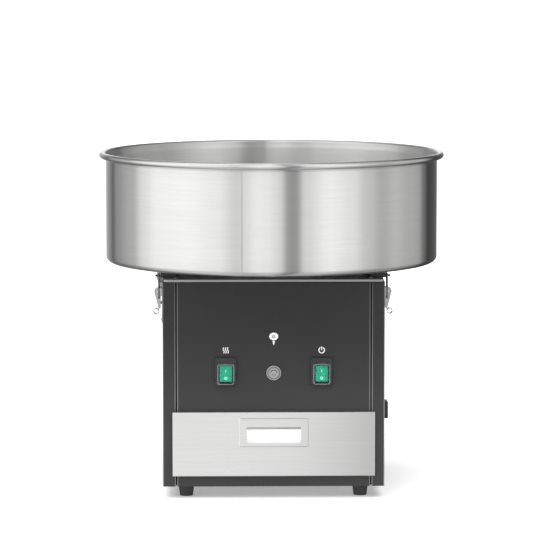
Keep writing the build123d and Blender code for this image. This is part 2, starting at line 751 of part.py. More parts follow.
def rocker(x):
    """Rocker whose two faces meet in a shallow valley, tipped so that its upper half is in."""
    z0 = ROCKER_PIVOT_Z
    low, high = z0 - ROCKER_HALF_HEIGHT, z0 + ROCKER_HALF_HEIGHT
    profile = Plane.YZ * make_face(
        Polyline(
            (FRONT_Y - 4.4, low),
            (FRONT_Y - 2.9, z0),
            (FRONT_Y - 4.4, high),
            (FRONT_Y + 4.5, z0 + 7.5),
            (FRONT_Y + 6.5, z0),
            (FRONT_Y + 4.5, z0 - 7.5),
            close=True,
        )
    )
    key = Pos(x - ROCKER_HALF_WIDTH, 0, 0) * extrude(profile, 2 * ROCKER_HALF_WIDTH)
    key = fillet(key.edges().filter_by(Axis.X).sort_by(Axis.Y)[:1], 0.6)
    key += rod_x(ROCKER_PIN_RADIUS, x - 10.0, x + 10.0, ROCKER_PIVOT_Y, z0)
    axis = Axis((x, ROCKER_PIVOT_Y, z0), (1, 0, 0))
    return key.rotate(axis, -ROCKER_TILT)


def boot_frames():
    """Black frames that hold the clear splash covers over the switches."""
    frames = []
    for side in SIDES:
        x = side * SWITCH_X
        frame = front_plate(*BOOT_FRAME, 3.5, FRONT_Y - 4.5, FRONT_Y, x, BOOT_FRAME_Z)
        frame = fillet(frame.faces().sort_by(Axis.Y)[0].edges(), 1.2)
        frames.append(frame - front_plate(*BOOT_OPENING, 2.0, FRONT_Y - 6, FRONT_Y + 1, x, SWITCH_Z))
    return frames


def boot_windows():
    """Clear covers, thin shells over the rockers."""
    covers = []
    for side in SIDES:
        x = side * SWITCH_X
        shell = front_plate(*BOOT_WINDOW, 3.0, FRONT_Y - 9.0, FRONT_Y - 2.0, x, SWITCH_Z)
        shell = fillet(shell.faces().sort_by(Axis.Y)[0].edges(), 1.8)
        width, height = (size - 2 * BOOT_SHEET for size in BOOT_WINDOW)
        shell -= front_plate(width, height, 2.2, FRONT_Y - 9.0 + BOOT_SHEET, FRONT_Y - 1.0, x, SWITCH_Z)
        covers.append(shell)
    return covers


def fuse_holder():
    """Panel fuse holder: a stepped flange outside, a threaded barrel and a nut inside."""
    flange = rod_y(FUSE_FLANGE_RADIUS, FRONT_Y - 2.6, FRONT_Y, 0, FUSE_Z)
    flange = fillet(flange.edges().sort_by(Axis.Y)[:1], 0.8)
    flange -= rod_y(9.4, FRONT_Y - 4, FRONT_Y - 1.9, 0, FUSE_Z) - rod_y(8.2, FRONT_Y - 4, FRONT_Y, 0, FUSE_Z)
    barrel = rod_y(FUSE_BARREL_RADIUS, FRONT_Y, FRONT_Y + 32, 0, FUSE_Z)
    nut = Pos(0, FRONT_Y + 5.2, FUSE_Z) * extrude(Plane.XZ * RegularPolygon(11.0, 6), 4.0)
    body = flange + barrel + nut
    body -= rod_y(FUSE_CAP_RADIUS + BODY_GAP, FRONT_Y - 4, FRONT_Y + 8, 0, FUSE_Z)
    body -= rod_y(3.3, FRONT_Y + 7, FRONT_Y + 30, 0, FUSE_Z)
    return body + block(-3.1, 3.1, FRONT_Y + 32, FRONT_Y + 40, FUSE_Z - 0.4, FUSE_Z + 0.4)


def fuse_cap():
    """Turning cap of the fuse holder, with a screwdriver slot and a finger rim."""
    cap = rod_y(FUSE_CAP_RADIUS, FRONT_Y - 4.2, FRONT_Y + 6, 0, FUSE_Z)
    cap = fillet(cap.edges().sort_by(Axis.Y)[:1], 0.7)
    cap -= rod_y(5.2, FRONT_Y - 5, FRONT_Y - 3.5, 0, FUSE_Z) - rod_y(3.8, FRONT_Y - 6, FRONT_Y, 0, FUSE_Z)
    cap -= block(-3.0, 3.0, FRONT_Y - 5, FRONT_Y - 3.2, FUSE_Z - 0.6, FUSE_Z + 0.6)
    return cap


def fuse_link():
    """Glass fuse held in the barrel, behind the cap."""
    return rod_y(2.6, FRONT_Y + 6.4, FRONT_Y + 28, 0, FUSE_Z)


def power_inlet():
    """Appliance inlet on the right side: shroud outside, case and tabs inside."""
    shroud = block(WALL_X, WALL_X + 10, INLET_Y - 14.5, INLET_Y + 14.5, INLET_Z - 12.7, INLET_Z + 12.7)
    shroud = fillet(shroud.edges().filter_by(Axis.X), 2.5)
    shroud = chamfer(shroud.faces().sort_by(Axis.X)[-1].edges(), 0.8)
    case = block(143, WALL_X, INLET_Y - 13.3, INLET_Y + 13.3, INLET_Z - 9.8, INLET_Z + 9.8)
    socket = block(156.5, WALL_X + 11, INLET_Y - 12.1, INLET_Y + 12.1, INLET_Z - 8.2, INLET_Z + 8.2)
    corners = socket.edges().filter_by(Axis.X).group_by(Axis.Z)[-1]
    return shroud + case - chamfer(corners, 4.0)


def inlet_pins():
    """Three flat pins in the socket."""
    pins = []
    for dy, dz in ((-7.0, -1.5), (0.0, 2.0), (7.0, -1.5)):
        y, z = INLET_Y + dy, INLET_Z + dz
        pins.append(block(156.5, 171, y - 1, y + 1, z - 2, z + 2))
    return pins


def terminal_block():
    """Row of screw terminals on the shelf."""
    floor = SHELF_BOTTOM + SHEET
    bar = block(-118, -62, 96, 114, floor, floor + 6)
    for i in range(6):
        x = -113.5 + i * 9.4
        bar += block(x - 3.6, x + 3.6, 98, 112, floor + 6, floor + 17)
        bar -= post(2.4, floor + 9, floor + 18, x, 105)
    return bar


# ---- Latches ------------------------------------------------------------------------
def side_profile(shape, width, y=-LATCH_Y):
    """Piece with a side-on outline on the right wall, centred on the latch's middle plane."""
    outline = Plane.XZ * (Pos(WALL_X, 0) * shape)
    return Pos(0, y + width / 2, 0) * extrude(outline, width)


def round_at(place, radius):
    return Pos(place[0], place[1]) * Circle(radius)


def latch_base():
    """Riveted plate with two ears for the lever's pivot."""
    plate = block(WALL_X, WALL_X + LATCH_BASE_SHEET, -LATCH_Y - 11, -LATCH_Y + 11, 256, 309)
    plate = fillet(plate.edges().filter_by(Axis.X), 3.0)
    strip = Pos(0.6, 302.5) * Rectangle(1.2, 13)
    ear = make_hull((strip + round_at(LEVER_PIVOT, 5.0)).edges())
    ears = side_profile(ear, 16.4) - side_profile(ear, 14.0)
    base = plate + ears
    base -= rod_y(LATCH_PIN_RADIUS, -LATCH_Y - 12, -LATCH_Y + 12, WALL_X + LEVER_PIVOT[0], LEVER_PIVOT[1])
    for z in LATCH_RIVET_HEIGHTS:
        base -= rod_x(RIVET_RADIUS, WALL_X - 1, WALL_X + 3, -LATCH_Y, z)
    return base


def latch_pin():
    return rod_y(LATCH_PIN_RADIUS, -LATCH_Y - 8.5, -LATCH_Y + 8.5, WALL_X + LEVER_PIVOT[0], LEVER_PIVOT[1])


def latch_lever():
    """Channel-shaped lever that tapers down to a rolled grip."""
    blade = round_at(LEVER_PIVOT, 5.0) + round_at(BAIL_PIVOT, 2.8) + round_at((4.6, 279.0), 1.8)
    outline = make_hull(blade.edges())
    lever = side_profile(outline, 12.4) - side_profile(Pos(-1.4, -0.4) * outline, 10.0)
    roll = round_at(GRIP, GRIP_RADIUS) - round_at(GRIP, GRIP_RADIUS - 1.25)
    tail = Pos(5.8, 276.6) * Rectangle(1.2, 7.2)
    lever += side_profile(roll + tail, 10.0)
    pivot_x, bail_x = WALL_X + LEVER_PIVOT[0], WALL_X + BAIL_PIVOT[0]
    lever -= rod_y(LATCH_PIN_RADIUS + RUNNING_FIT, -LATCH_Y - 9, -LATCH_Y + 9, pivot_x, LEVER_PIVOT[1])
    return lever - rod_y(WIRE_RADIUS + RUNNING_FIT, -LATCH_Y - 9, -LATCH_Y + 9, bail_x, BAIL_PIVOT[1])


def latch_bail():
    """Wire loop from the lever up over the catch, with its ends turned into the lever."""
    x = WALL_X + BAIL_PIVOT[0]
    low, high = BAIL_PIVOT[1], CROSSBAR_Z
    near, far = -LATCH_Y - 10, -LATCH_Y + 10
    route = FilletPolyline(
        (x, -LATCH_Y - 4.7, low),
        (x, near, low),
        (x, near, high),
        (x, far, high),
        (x, far, low),
        (x, -LATCH_Y + 4.7, low),
        radius=2.4,
    )
    section = Plane(origin=route @ 0, z_dir=route % 0) * Circle(WIRE_RADIUS)
    return sweep(section, path=route)


def latch_rivets():
    """Dome rivets that hold the latch bases on the side walls."""
    rivets = []
    for y, z in latch_rivet_places():
        head = Pos(WALL_X + LATCH_BASE_SHEET, y, z) * Rot(0, 90, 0) * dome(3.2, 1.7)
        shank = rod_x(RIVET_RADIUS, INNER_X, WALL_X + LATCH_BASE_SHEET, y, z)
        tail = rod_x(3.0, INNER_X - 1.4, INNER_X, y, z)
        rivets.append(head + shank + tail)
    return rivets + [mirror(rivet, about=Plane.YZ) for rivet in rivets]


def on_all_corners(piece):
    """A front right latch piece repeated at the four corners, by name of the corner."""
    rear = mirror(piece, about=Plane.XZ)
    return {
        "front_right": piece,
        "rear_right": rear,
        "front_left": mirror(piece, about=Plane.YZ),
        "rear_left": mirror(rear, about=Plane.YZ),
    }


# ---- Write every sub-part -----------------------------------------------------------
def main():
    os.makedirs("parts", exist_ok=True)
    side_sheet = right_side_panel()
    save("base_plate", base_plate())
    save("right_side_panel", side_sheet - inlet_cutout())
    save("left_side_panel", mirror(side_sheet, about=Plane.YZ))
    save("front_panel", front_panel())
    save("rear_panel", rear_panel())
    save("corner_posts", *corner_posts())
    save("deck_plate", deck_plate())
    save("deck_seal", deck_seal())
    save("deck_screws", *deck_screws())
    save("drawer_shelf", drawer_shelf())
    save("drawer_runners", *drawer_runners())
    save("rubber_feet", *rubber_feet())
    save("foot_screws", *foot_screws())

    save("motor_standoffs", *motor_standoffs())
    save("motor_plate", motor_plate())
    save("motor_can", motor_can())
    save("motor_stator", motor_stator())
    save("motor_end_bell", motor_end_bell())
    save("shaft_bearings", *shaft_bearings())
    save("brush_holder", brush_holder())
    save("carbon_brushes", *carbon_brushes())
    save("shaft_seal", shaft_seal())

    save("spinner_shaft", spinner_shaft())
    save("motor_rotor", motor_rotor())
    save("cooling_fan", cooling_fan())
    save("slip_ring_hub", slip_ring_hub())
    save("slip_rings", *slip_rings())
    save("head_base", head_base())
    save("floss_band", floss_band())
    save("heater_ring", heater_ring())
    save("head_cap", head_cap())
    save("head_fasteners", *head_screws(), head_nut())

    save("bowl_pan", bowl_pan())
    save("bowl_brackets", *bowl_brackets())
    save("bowl_rivets", *bowl_rivets())

    save("drawer_tray", drawer_tray())
    save("drawer_front", drawer_front())
    save("pull_cup", pull_cup())

    save("heat_switch_body", switch_body(-SWITCH_X))
    save("power_switch_body", switch_body(SWITCH_X))
    save("heat_rocker", rocker(-SWITCH_X))
    save("power_rocker", rocker(SWITCH_X))
    save("boot_frames", *boot_frames())
    save("boot_windows", *boot_windows())
    save("fuse_holder", fuse_holder())
    save("fuse_cap", fuse_cap())
    save("fuse_link", fuse_link())
    save("power_inlet", power_inlet())
    save("inlet_pins", *inlet_pins())
    save("terminal_block", terminal_block())

    save("latch_bases", *on_all_corners(latch_base()).values())
    save("latch_fasteners", *on_all_corners(latch_pin()).values(), *latch_rivets())
    for corner, lever in on_all_corners(latch_lever()).items():
        save(f"latch_lever_{corner}", lever)
    for corner, bail in on_all_corners(latch_bail()).items():
        save(f"latch_bail_{corner}", bail)


main()
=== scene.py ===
import bpy
import bmesh
import json
from math import atan, atan2, cos, degrees, hypot, pi, radians, sin
from mathutils import Matrix, Vector

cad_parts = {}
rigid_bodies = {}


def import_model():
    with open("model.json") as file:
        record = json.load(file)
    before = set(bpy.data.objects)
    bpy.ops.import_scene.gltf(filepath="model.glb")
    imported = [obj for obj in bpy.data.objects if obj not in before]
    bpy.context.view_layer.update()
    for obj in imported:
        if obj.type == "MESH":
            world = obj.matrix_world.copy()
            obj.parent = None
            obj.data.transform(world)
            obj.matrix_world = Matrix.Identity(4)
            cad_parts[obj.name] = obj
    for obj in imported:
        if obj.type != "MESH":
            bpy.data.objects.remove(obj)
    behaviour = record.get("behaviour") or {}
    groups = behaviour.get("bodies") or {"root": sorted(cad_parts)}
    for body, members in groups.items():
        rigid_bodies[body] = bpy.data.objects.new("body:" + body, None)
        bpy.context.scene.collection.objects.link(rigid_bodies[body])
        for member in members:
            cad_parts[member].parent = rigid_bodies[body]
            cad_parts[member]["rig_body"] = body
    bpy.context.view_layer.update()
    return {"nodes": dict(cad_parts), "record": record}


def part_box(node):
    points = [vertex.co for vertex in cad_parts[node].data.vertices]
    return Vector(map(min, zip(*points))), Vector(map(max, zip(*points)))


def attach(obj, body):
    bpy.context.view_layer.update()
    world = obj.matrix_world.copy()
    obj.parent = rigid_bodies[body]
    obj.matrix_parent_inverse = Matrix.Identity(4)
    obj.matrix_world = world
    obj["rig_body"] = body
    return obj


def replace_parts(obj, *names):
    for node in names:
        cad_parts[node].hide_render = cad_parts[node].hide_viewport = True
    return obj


# Looks of a counter-top cotton candy machine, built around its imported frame. Metres, +Z up, front -Y.
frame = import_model()

MM = 0.001


def span(node):
    """Lowest corner, highest corner and centre of a CAD node."""
    low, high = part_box(node)
    return low, high, (low + high) / 2


# ---- Node trees ----------------------------------------------------------------------
class Nodes:
    """Short helpers for a node tree. A value is another node's output, or a plain number or colour."""

    def __init__(self, tree):
        self.tree = tree

    def node(self, kind, **settings):
        made = self.tree.nodes.new(kind)
        for key, value in settings.items():
            setattr(made, key, value)
        return made

    def put(self, value, socket):
        """Links an output to a socket, or sets a plain value on it."""
        if hasattr(value, "links"):
            self.tree.links.new(value, socket)
        else:
            socket.default_value = value

    def math(self, operation, a, b=0.0):
        made = self.node("ShaderNodeMath", operation=operation)
        self.put(a, made.inputs[0])
        self.put(b, made.inputs[1])
        return made.outputs[0]

    def weighted(self, a, a_share, b, b_share):
        """Two values added, each times its share."""
        return self.math("ADD", self.math("MULTIPLY", a, a_share), self.math("MULTIPLY", b, b_share))

    def split(self, vector):
        """The X, Y and Z of a vector."""
        made = self.node("ShaderNodeSeparateXYZ")
        self.put(vector, made.inputs[0])
        return made.outputs[:]

    def mixed(self, factor, first, second, blend="MIX"):
        """A colour between two others, or their product."""
        made = self.node("ShaderNodeMix", data_type="RGBA", blend_type=blend)
        self.put(factor, made.inputs["Factor"])
        self.put(first, made.inputs[6])
        self.put(second, made.inputs[7])
        return made.outputs[2]

    def ramp(self, value, stops, interpolation="LINEAR"):
        """A grey that follows (place, brightness) stops."""
        made = self.node("ShaderNodeValToRGB")
        made.color_ramp.interpolation = interpolation
        elements = made.color_ramp.elements
        while len(elements) > 1:
            elements.remove(elements[-1])
        for i, (place, grey) in enumerate(stops):
            element = elements[0] if i == 0 else elements.new(place)
            element.position = place
            element.color = (grey, grey, grey, 1)
        self.put(value, made.inputs[0])
        return made.outputs[0]


# ---- Camera and studio ---------------------------------------------------------------
CAMERA_PLACE = (-0.103, -5.0, 0.857)
CAMERA_AIM = (0.0054, 0.0, 0.3145)
CAMERA_LENS = 217.3              # millimetres, as is the sensor
CAMERA_SENSOR = 36.0
CAMERA_REACH = 200.0             # metres


def make_camera():
    """A long lens a little above the rim, as a product photographer uses."""
    camera = bpy.data.objects.new("camera", bpy.data.cameras.new("camera"))
    bpy.context.scene.collection.objects.link(camera)
    camera.data.lens = CAMERA_LENS
    camera.data.sensor_width = CAMERA_SENSOR
    camera.data.clip_end = CAMERA_REACH
    camera.location = CAMERA_PLACE
    aim = Vector(CAMERA_AIM) - Vector(CAMERA_PLACE)
    camera.rotation_euler = aim.to_track_quat("-Z", "Y").to_euler()
    bpy.context.scene.camera = camera


# Brightness of the studio round the machine: azimuth in degrees from the front, positive to the right.
STUDIO = [
    (-180, 0.95),
    (-163, 0.42),
    (-152, 0.28),
    (-145, 0.14),
    (-137, 0.34),
    (-113, 0.55),
    (-101, 0.98),
    (-86, 1.22),
    (-62, 1.28),
    (-40, 1.16),
    (-24, 0.86),
    (-20, 0.98),
    (-11, 1.18),
    (-3, 1.13),
    (1, 1.02),
    (6, 0.92),
    (9, 0.47),
    (14, 0.39),
    (17, 0.42),
    (21, 0.90),
    (40, 1.20),
    (56, 1.03),
    (69, 0.74),
    (82, 0.55),
    (94, 0.64),
    (110, 0.53),
    (122, 0.47),
    (130, 0.20),
    (138, 0.06),
    (148, 0.08),
    (162, 0.13),
    (180, 0.95),
]
# Share of that brightness by height: 0 is straight down, 0.5 the horizon and 1 straight up.
STUDIO_HEIGHTS = [(0.0, 0.5), (0.35, 0.6), (0.45, 1.0), (0.54, 1.0), (0.60, 1.25), (0.72, 0.6), (0.9, 1.0)]
STUDIO_STRENGTH = 2.0            # a ramp's colours stay under 1, so they are divided by this
FLOOR_HALF = 60.0
OVERHEAD_PLACE = (-0.3, -1.0, 2.7)
OVERHEAD_AIM = (0, 0, 0.2)
OVERHEAD_SPREAD = radians(80)
OVERHEAD_POWER = 3.6


def make_studio():
    """Soft boxes all round with darker gaps between them; the camera itself sees plain white."""
    world = bpy.data.worlds.new("studio")
    bpy.context.scene.world = world
    world.use_nodes = True
    world.node_tree.nodes.clear()
    sky = Nodes(world.node_tree)
    x, y, z = sky.split(sky.node("ShaderNodeTexCoord").outputs["Generated"])
    azimuth = sky.math("ARCTAN2", x, sky.math("MULTIPLY", y, -1.0))
    place = sky.math("ADD", sky.math("DIVIDE", azimuth, 2 * pi), 0.5)
    stops = [((angle + 180) / 360, value / STUDIO_STRENGTH) for angle, value in STUDIO]
    around = sky.ramp(place, stops, "EASE")
    share = sky.ramp(sky.math("ADD", sky.math("MULTIPLY", z, 0.5), 0.5), STUDIO_HEIGHTS)
    lit = sky.node("ShaderNodeBackground")
    lit.inputs["Strength"].default_value = STUDIO_STRENGTH
    sky.put(sky.mixed(1.0, around, share, "MULTIPLY"), lit.inputs["Color"])
    plain = sky.node("ShaderNodeBackground")
    plain.inputs["Color"].default_value = (1, 1, 1, 1)
    choose = sky.node("ShaderNodeMixShader")
    sky.put(sky.node("ShaderNodeLightPath").outputs["Is Camera Ray"], choose.inputs[0])
    sky.put(lit.outputs[0], choose.inputs[1])
    sky.put(plain.outputs[0], choose.inputs[2])
    sky.put(choose.outputs[0], sky.node("ShaderNodeOutputWorld").inputs[0])
    bpy.context.scene.view_settings.view_transform = "Standard"


def make_floor():
    """Plain pale floor that also fills the background."""
    mesh = bpy.data.meshes.new("floor")
    corners = [(x * FLOOR_HALF, y * FLOOR_HALF, 0) for x, y in ((-1, -1), (1, -1), (1, 1), (-1, 1))]
    mesh.from_pydata(corners, [], [(0, 1, 2, 3)])
    floor = bpy.data.objects.new("floor", mesh)
    bpy.context.scene.collection.objects.link(floor)
    floor.visible_glossy = False
    mat = Surface("floor_white", (0.88, 0.88, 0.88), roughness=0.9, Emission_Strength=0.25)
    mat.shader.inputs["Emission Color"].default_value = (1, 1, 1, 1)
    mesh.materials.append(mat.material)


def make_overhead_light():
    """Very soft light from above and in front, kept out of the steel's reflections."""
    light = bpy.data.lights.new("overhead", "SUN")
    light.angle = OVERHEAD_SPREAD
    light.energy = OVERHEAD_POWER
    lamp = bpy.data.objects.new("overhead", light)
    lamp.location = OVERHEAD_PLACE
    aim = Vector(OVERHEAD_AIM) - lamp.location
    lamp.rotation_euler = aim.to_track_quat("-Z", "Y").to_euler()
    lamp.visible_glossy = False
    bpy.context.scene.collection.objects.link(lamp)


# ---- Materials -----------------------------------------------------------------------
INNER_WALL = (-0.2, -0.05)       # distance from the axis times the outward share of the normal, in metres


class Surface(Nodes):
    """A Principled material and short helpers for its look."""

    def __init__(self, name, color, metallic=0.0, roughness=0.5, **fixed):
        self.material = bpy.data.materials.new(name)
        self.material.use_nodes = True
        super().__init__(self.material.node_tree)
        self.shader = self.tree.nodes["Principled BSDF"]
        self.color = color
        self.shader.inputs["Base Color"].default_value = (*color, 1)
        self.shader.inputs["Metallic"].default_value = metallic
        self.shader.inputs["Roughness"].default_value = roughness
        for key, value in fixed.items():
            self.shader.inputs[key.replace("_", " ")].default_value = value
        self.place = self.node("ShaderNodeTexCoord").outputs["Object"]

    def stretched(self, x, y=None, z=None):
        """Object coordinates times a scale for each axis, or one for all, in cycles per metre or so."""
        made = self.node("ShaderNodeMapping")
        made.inputs["Scale"].default_value = (x, x if y is None else y, x if z is None else z)
        self.put(self.place, made.inputs["Vector"])
        return made.outputs[0]

    def turned(self, along, across):
        """Coordinates that follow a turned or spun piece round the upright axis."""
        x, y, z = self.split(self.place)
        around = self.math("ARCTAN2", y, x)
        out = self.math("SQRT", self.math("ADD", self.math("MULTIPLY", x, x), self.math("MULTIPLY", y, y)))
        made = self.node("ShaderNodeCombineXYZ")
        self.put(self.math("MULTIPLY", around, along), made.inputs[0])
        self.put(self.math("MULTIPLY", out, across), made.inputs[1])
        self.put(self.math("MULTIPLY", z, across), made.inputs[2])
        return made.outputs[0]

    def normal(self):
        """The X, Y and Z of the way the surface faces."""
        return self.split(self.node("ShaderNodeTexCoord").outputs["Normal"])

    def facing_in(self):
        """1 on a wall that looks towards the upright axis, 0 on floors and outer faces."""
        x, y, _ = self.split(self.place)
        across, deep, _ = self.normal()
        outwards = self.math("ADD", self.math("MULTIPLY", x, across), self.math("MULTIPLY", y, deep))
        return self.fit(outwards, 1.0, 0.0, *INNER_WALL)

    def noise(self, vector, scale=1.0, detail=2.0, rough=0.5):
        made = self.node("ShaderNodeTexNoise")
        made.inputs["Scale"].default_value = scale
        made.inputs["Detail"].default_value = detail
        made.inputs["Roughness"].default_value = rough
        self.put(vector, made.inputs["Vector"])
        return made.outputs["Fac"]

    def fit(self, value, low, high, from_low=0.25, from_high=0.75):
        """A value spread between two numbers; noise lies mostly between a quarter and three quarters."""
        made = self.node("ShaderNodeMapRange")
        made.inputs["From Min"].default_value = from_low
        made.inputs["From Max"].default_value = from_high
        made.inputs["To Min"].default_value = low
        made.inputs["To Max"].default_value = high
        self.put(value, made.inputs["Value"])
        return made.outputs[0]

    def paint(self, shade):
        self.put(shade, self.shader.inputs["Base Color"])
        return shade

    def tint(self, value, low, high):
        """Base colour between two shares of the material's own, by a noise value."""
        dark = (*[c * low for c in self.color], 1)
        light = (*[min(1.0, c * high) for c in self.color], 1)
        return self.paint(self.mixed(self.fit(value, 0.0, 1.0), dark, light))

    def gloss(self, value, low, high):
        """Roughness between two numbers, by a noise value."""
        self.put(self.fit(value, low, high), self.shader.inputs["Roughness"])

    def bump(self, height, depth, strength=1.0):
        """Relief from a height; a second one adds to the first."""
        made = self.node("ShaderNodeBump")
        made.inputs["Strength"].default_value = strength
        made.inputs["Distance"].default_value = depth
        self.put(height, made.inputs["Height"])
        for earlier in self.shader.inputs["Normal"].links:
            self.put(earlier.from_socket, made.inputs["Normal"])
        self.put(made.outputs[0], self.shader.inputs["Normal"])

    def brush_round(self):
        """Grain that runs round the upright axis, for anisotropic gloss."""
        tangent = self.node("ShaderNodeTangent", direction_type="RADIAL", axis="Z")
        self.put(tangent.outputs[0], self.shader.inputs["Tangent"])


def spun_steel():
    """Stainless sheet brushed round the upright axis, as the bowl is, with the inside wavier and duller."""
    mat = Surface("spun_steel", (0.82, 0.817, 0.812), 1.0, 0.24, Anisotropic=1.0, Anisotropic_Rotation=0.25)
    mat.brush_round()
    fine = mat.noise(mat.turned(3.0, 900.0), detail=3.0, rough=0.7)
    coarse = mat.noise(mat.turned(2.0, 160.0))
    cloud = mat.noise(mat.stretched(9), detail=3.0)
    mat.tint(fine, 0.95, 1.03)
    inside = mat.facing_in()
    polish = mat.fit(mat.weighted(coarse, 0.6, cloud, 0.4), 0.17, 0.23)
    mat.put(mat.math("ADD", polish, mat.math("MULTIPLY", inside, 0.11)), mat.shader.inputs["Roughness"])
    mat.bump(fine, 0.008 * MM, 0.3)
    waves = mat.noise(mat.turned(7.0, 0.5), detail=1.0)
    mat.bump(mat.math("MULTIPLY", waves, inside), 1.2 * MM)
    return mat.material


BOW_START = 25.0 * MM            # from the middle of the sheet


def straight_steel(name, along, color, rough=(0.26, 0.32), bow=0.0):
    """Stainless sheet with its grain along one axis; bow is how fast a bump makes its right part look curved
    back, 1/m, while the sheet stays flat.
    """
    turn = 0.0 if along == "z" else 0.25
    mat = Surface(name, color, 1.0, 0.3, Anisotropic=0.8, Anisotropic_Rotation=turn)
    mat.brush_round()

    def streaks(across, lengthways, **settings):
        scale = [lengthways if axis == along else across for axis in "xyz"]
        return mat.noise(mat.stretched(*scale), **settings)

    fine = streaks(1400.0, 9.0, detail=3.0, rough=0.7)
    band = streaks(120.0, 3.0)
    cloud = mat.noise(mat.stretched(11))
    mat.tint(fine, 0.94, 1.04)
    mat.gloss(mat.weighted(band, 0.4, cloud, 0.6), *rough)
    mat.bump(fine, 0.01 * MM, 0.3)
    if bow:
        x = mat.split(mat.place)[0]
        past = mat.math("MAXIMUM", mat.math("SUBTRACT", x, BOW_START), 0.0)
        mat.bump(mat.math("MULTIPLY", mat.math("MULTIPLY", past, past), -bow / 2), 1.0)
    return mat.material


def turned_metal(name, color, rough=(0.25, 0.4), across=700.0):
    """Metal turned on a lathe, with fine rings."""
    mat = Surface(name, color, 1.0, 0.3)
    rings = mat.noise(mat.turned(1.0, across), rough=0.6)
    cloud = mat.noise(mat.stretched(30), detail=4.0)
    mat.tint(cloud, 0.88, 1.05)
    mat.gloss(rings, *rough)
    mat.bump(rings, 0.06 * MM, 0.5)
    return mat.material


def plated_steel(name, color, rough=(0.2, 0.4), spangle=60.0):
    """Zinc or nickel plate: cloudy, slightly mottled, with fine scratches."""
    mat = Surface(name, color, 1.0, 0.3)
    cloud = mat.noise(mat.stretched(spangle), detail=5.0, rough=0.6)
    grain = mat.noise(mat.stretched(1200, 1200, 300))
    mat.tint(cloud, 0.82, 1.06)
    mat.gloss(mat.weighted(cloud, 0.6, grain, 0.4), *rough)
    mat.bump(grain, 0.03 * MM, 0.4)
    return mat.material


# Where the painted highlight on the upright bends starts and where it is full.
BEND_HIGHLIGHT_SLANTS = (0.15, 0.45)       # side share of the normal times its front share: at a bend's start, and full
# Heights over which the painted light from the floor fades out of the paint's colour.
FLOOR_PAINTED_LIGHT_HEIGHTS = (105.0 * MM, 250.0 * MM)


def powder_coat(name, color, rough=(0.38, 0.5), bend_painted_highlight=1.0, floor_painted_light=1.0):
    """Fine-textured powder coat; its colour can hold painted light: painted highlights on upright bends, and
    a lower part painted lighter as light from the floor.
    """
    mat = Surface(name, color, 0.0, 0.45, Specular_IOR_Level=0.38)
    grain = mat.noise(mat.stretched(1500))
    peel = mat.noise(mat.stretched(260))
    cloud = mat.noise(mat.stretched(7), detail=3.0)
    shade = mat.tint(cloud, 0.92, 1.06)
    # Painted highlight: bends that turn from the front to the side get a lighter base colour.
    if bend_painted_highlight > 1.0:
        side, front, _ = [mat.math("ABSOLUTE", share) for share in mat.normal()]
        bend = mat.fit(mat.math("MULTIPLY", side, front), 0.0, 1.0, *BEND_HIGHLIGHT_SLANTS)
        shade = mat.paint(mat.mixed(bend, shade, (*[c * bend_painted_highlight for c in color], 1)))
    # Painted light from the floor: the base colour gets lighter towards the bottom.
    if floor_painted_light > 1.0:
        share = mat.fit(mat.split(mat.place)[2], floor_painted_light, 1.0, *FLOOR_PAINTED_LIGHT_HEIGHTS)
        mat.paint(mat.mixed(1.0, shade, share, "MULTIPLY"))
    mat.gloss(mat.weighted(grain, 0.5, cloud, 0.5), *rough)
    mat.bump(mat.weighted(grain, 0.4, peel, 0.8), 0.06 * MM, 0.5)
    return mat.material


def moulded(name, color, rough=(0.35, 0.5), grain_scale=1800.0, depth=0.03 * MM):
    """Moulded plastic or rubber with a fine spark-eroded texture."""
    mat = Surface(name, color, 0.0, 0.45)
    grain = mat.noise(mat.stretched(grain_scale))
    cloud = mat.noise(mat.stretched(45), detail=3.0)
    mat.tint(cloud, 0.88, 1.10)
    mat.gloss(mat.weighted(grain, 0.4, cloud, 0.6), *rough)
    mat.bump(grain, depth, 0.6)
    return mat.material


def green_painted_glow():
    """Translucent green rocker; its faint glow is painted light, set in the emission, with no lamp behind it.
    """
    mat = Surface(
        "green_painted_glow", (0.004, 0.27, 0.15), 0.0, 0.35, Emission_Strength=0.12, Specular_IOR_Level=0.15
    )
    mat.shader.inputs["Emission Color"].default_value = (0.02, 0.60, 0.34, 1)
    mat.tint(mat.noise(mat.stretched(160)), 0.85, 1.15)
    mat.gloss(mat.noise(mat.stretched(900)), 0.22, 0.34)
    return mat.material


def clear_vinyl():
    """Clear flexible cover: mostly see-through, with soft gloss."""
    mat = Surface("clear_vinyl", (0.12, 0.15, 0.15), 0.0, 0.12, Alpha=0.05)
    wave = mat.noise(mat.stretched(140))
    mat.gloss(wave, 0.12, 0.2)
    mat.bump(wave, 0.1 * MM, 0.2)
    return mat.material


def vinyl_edge_painted_highlight():
    """Thick edge of the clear cover; its light grey is a painted highlight of the edge."""
    mat = Surface("vinyl_edge_painted_highlight", (0.20, 0.24, 0.235), 0.0, 0.35, Alpha=0.85, Specular_IOR_Level=0.3)
    wave = mat.noise(mat.stretched(150))
    mat.tint(wave, 0.85, 1.12)
    mat.gloss(wave, 0.28, 0.4)
    return mat.material


def white_print():
    """Screen-printed ink, a little thinner in places."""
    mat = Surface("white_print", (0.74, 0.74, 0.74), 0.0, 0.5)
    cover = mat.noise(mat.stretched(2500))
    mat.tint(cover, 0.92, 1.05)
    mat.gloss(cover, 0.4, 0.55)
    return mat.material


def white_liner_painted_glow():
    """Bright white lining; its slight glow is painted light, set in the emission, with no lamp behind it."""
    mat = Surface("pull_liner", (0.93, 0.93, 0.93), 0.0, 0.4, Emission_Strength=0.42)
    mat.shader.inputs["Emission Color"].default_value = (1, 1, 1, 1)
    speck = mat.noise(mat.stretched(1500))
    mat.tint(speck, 0.96, 1.03)
    mat.gloss(speck, 0.35, 0.5)
    return mat.material


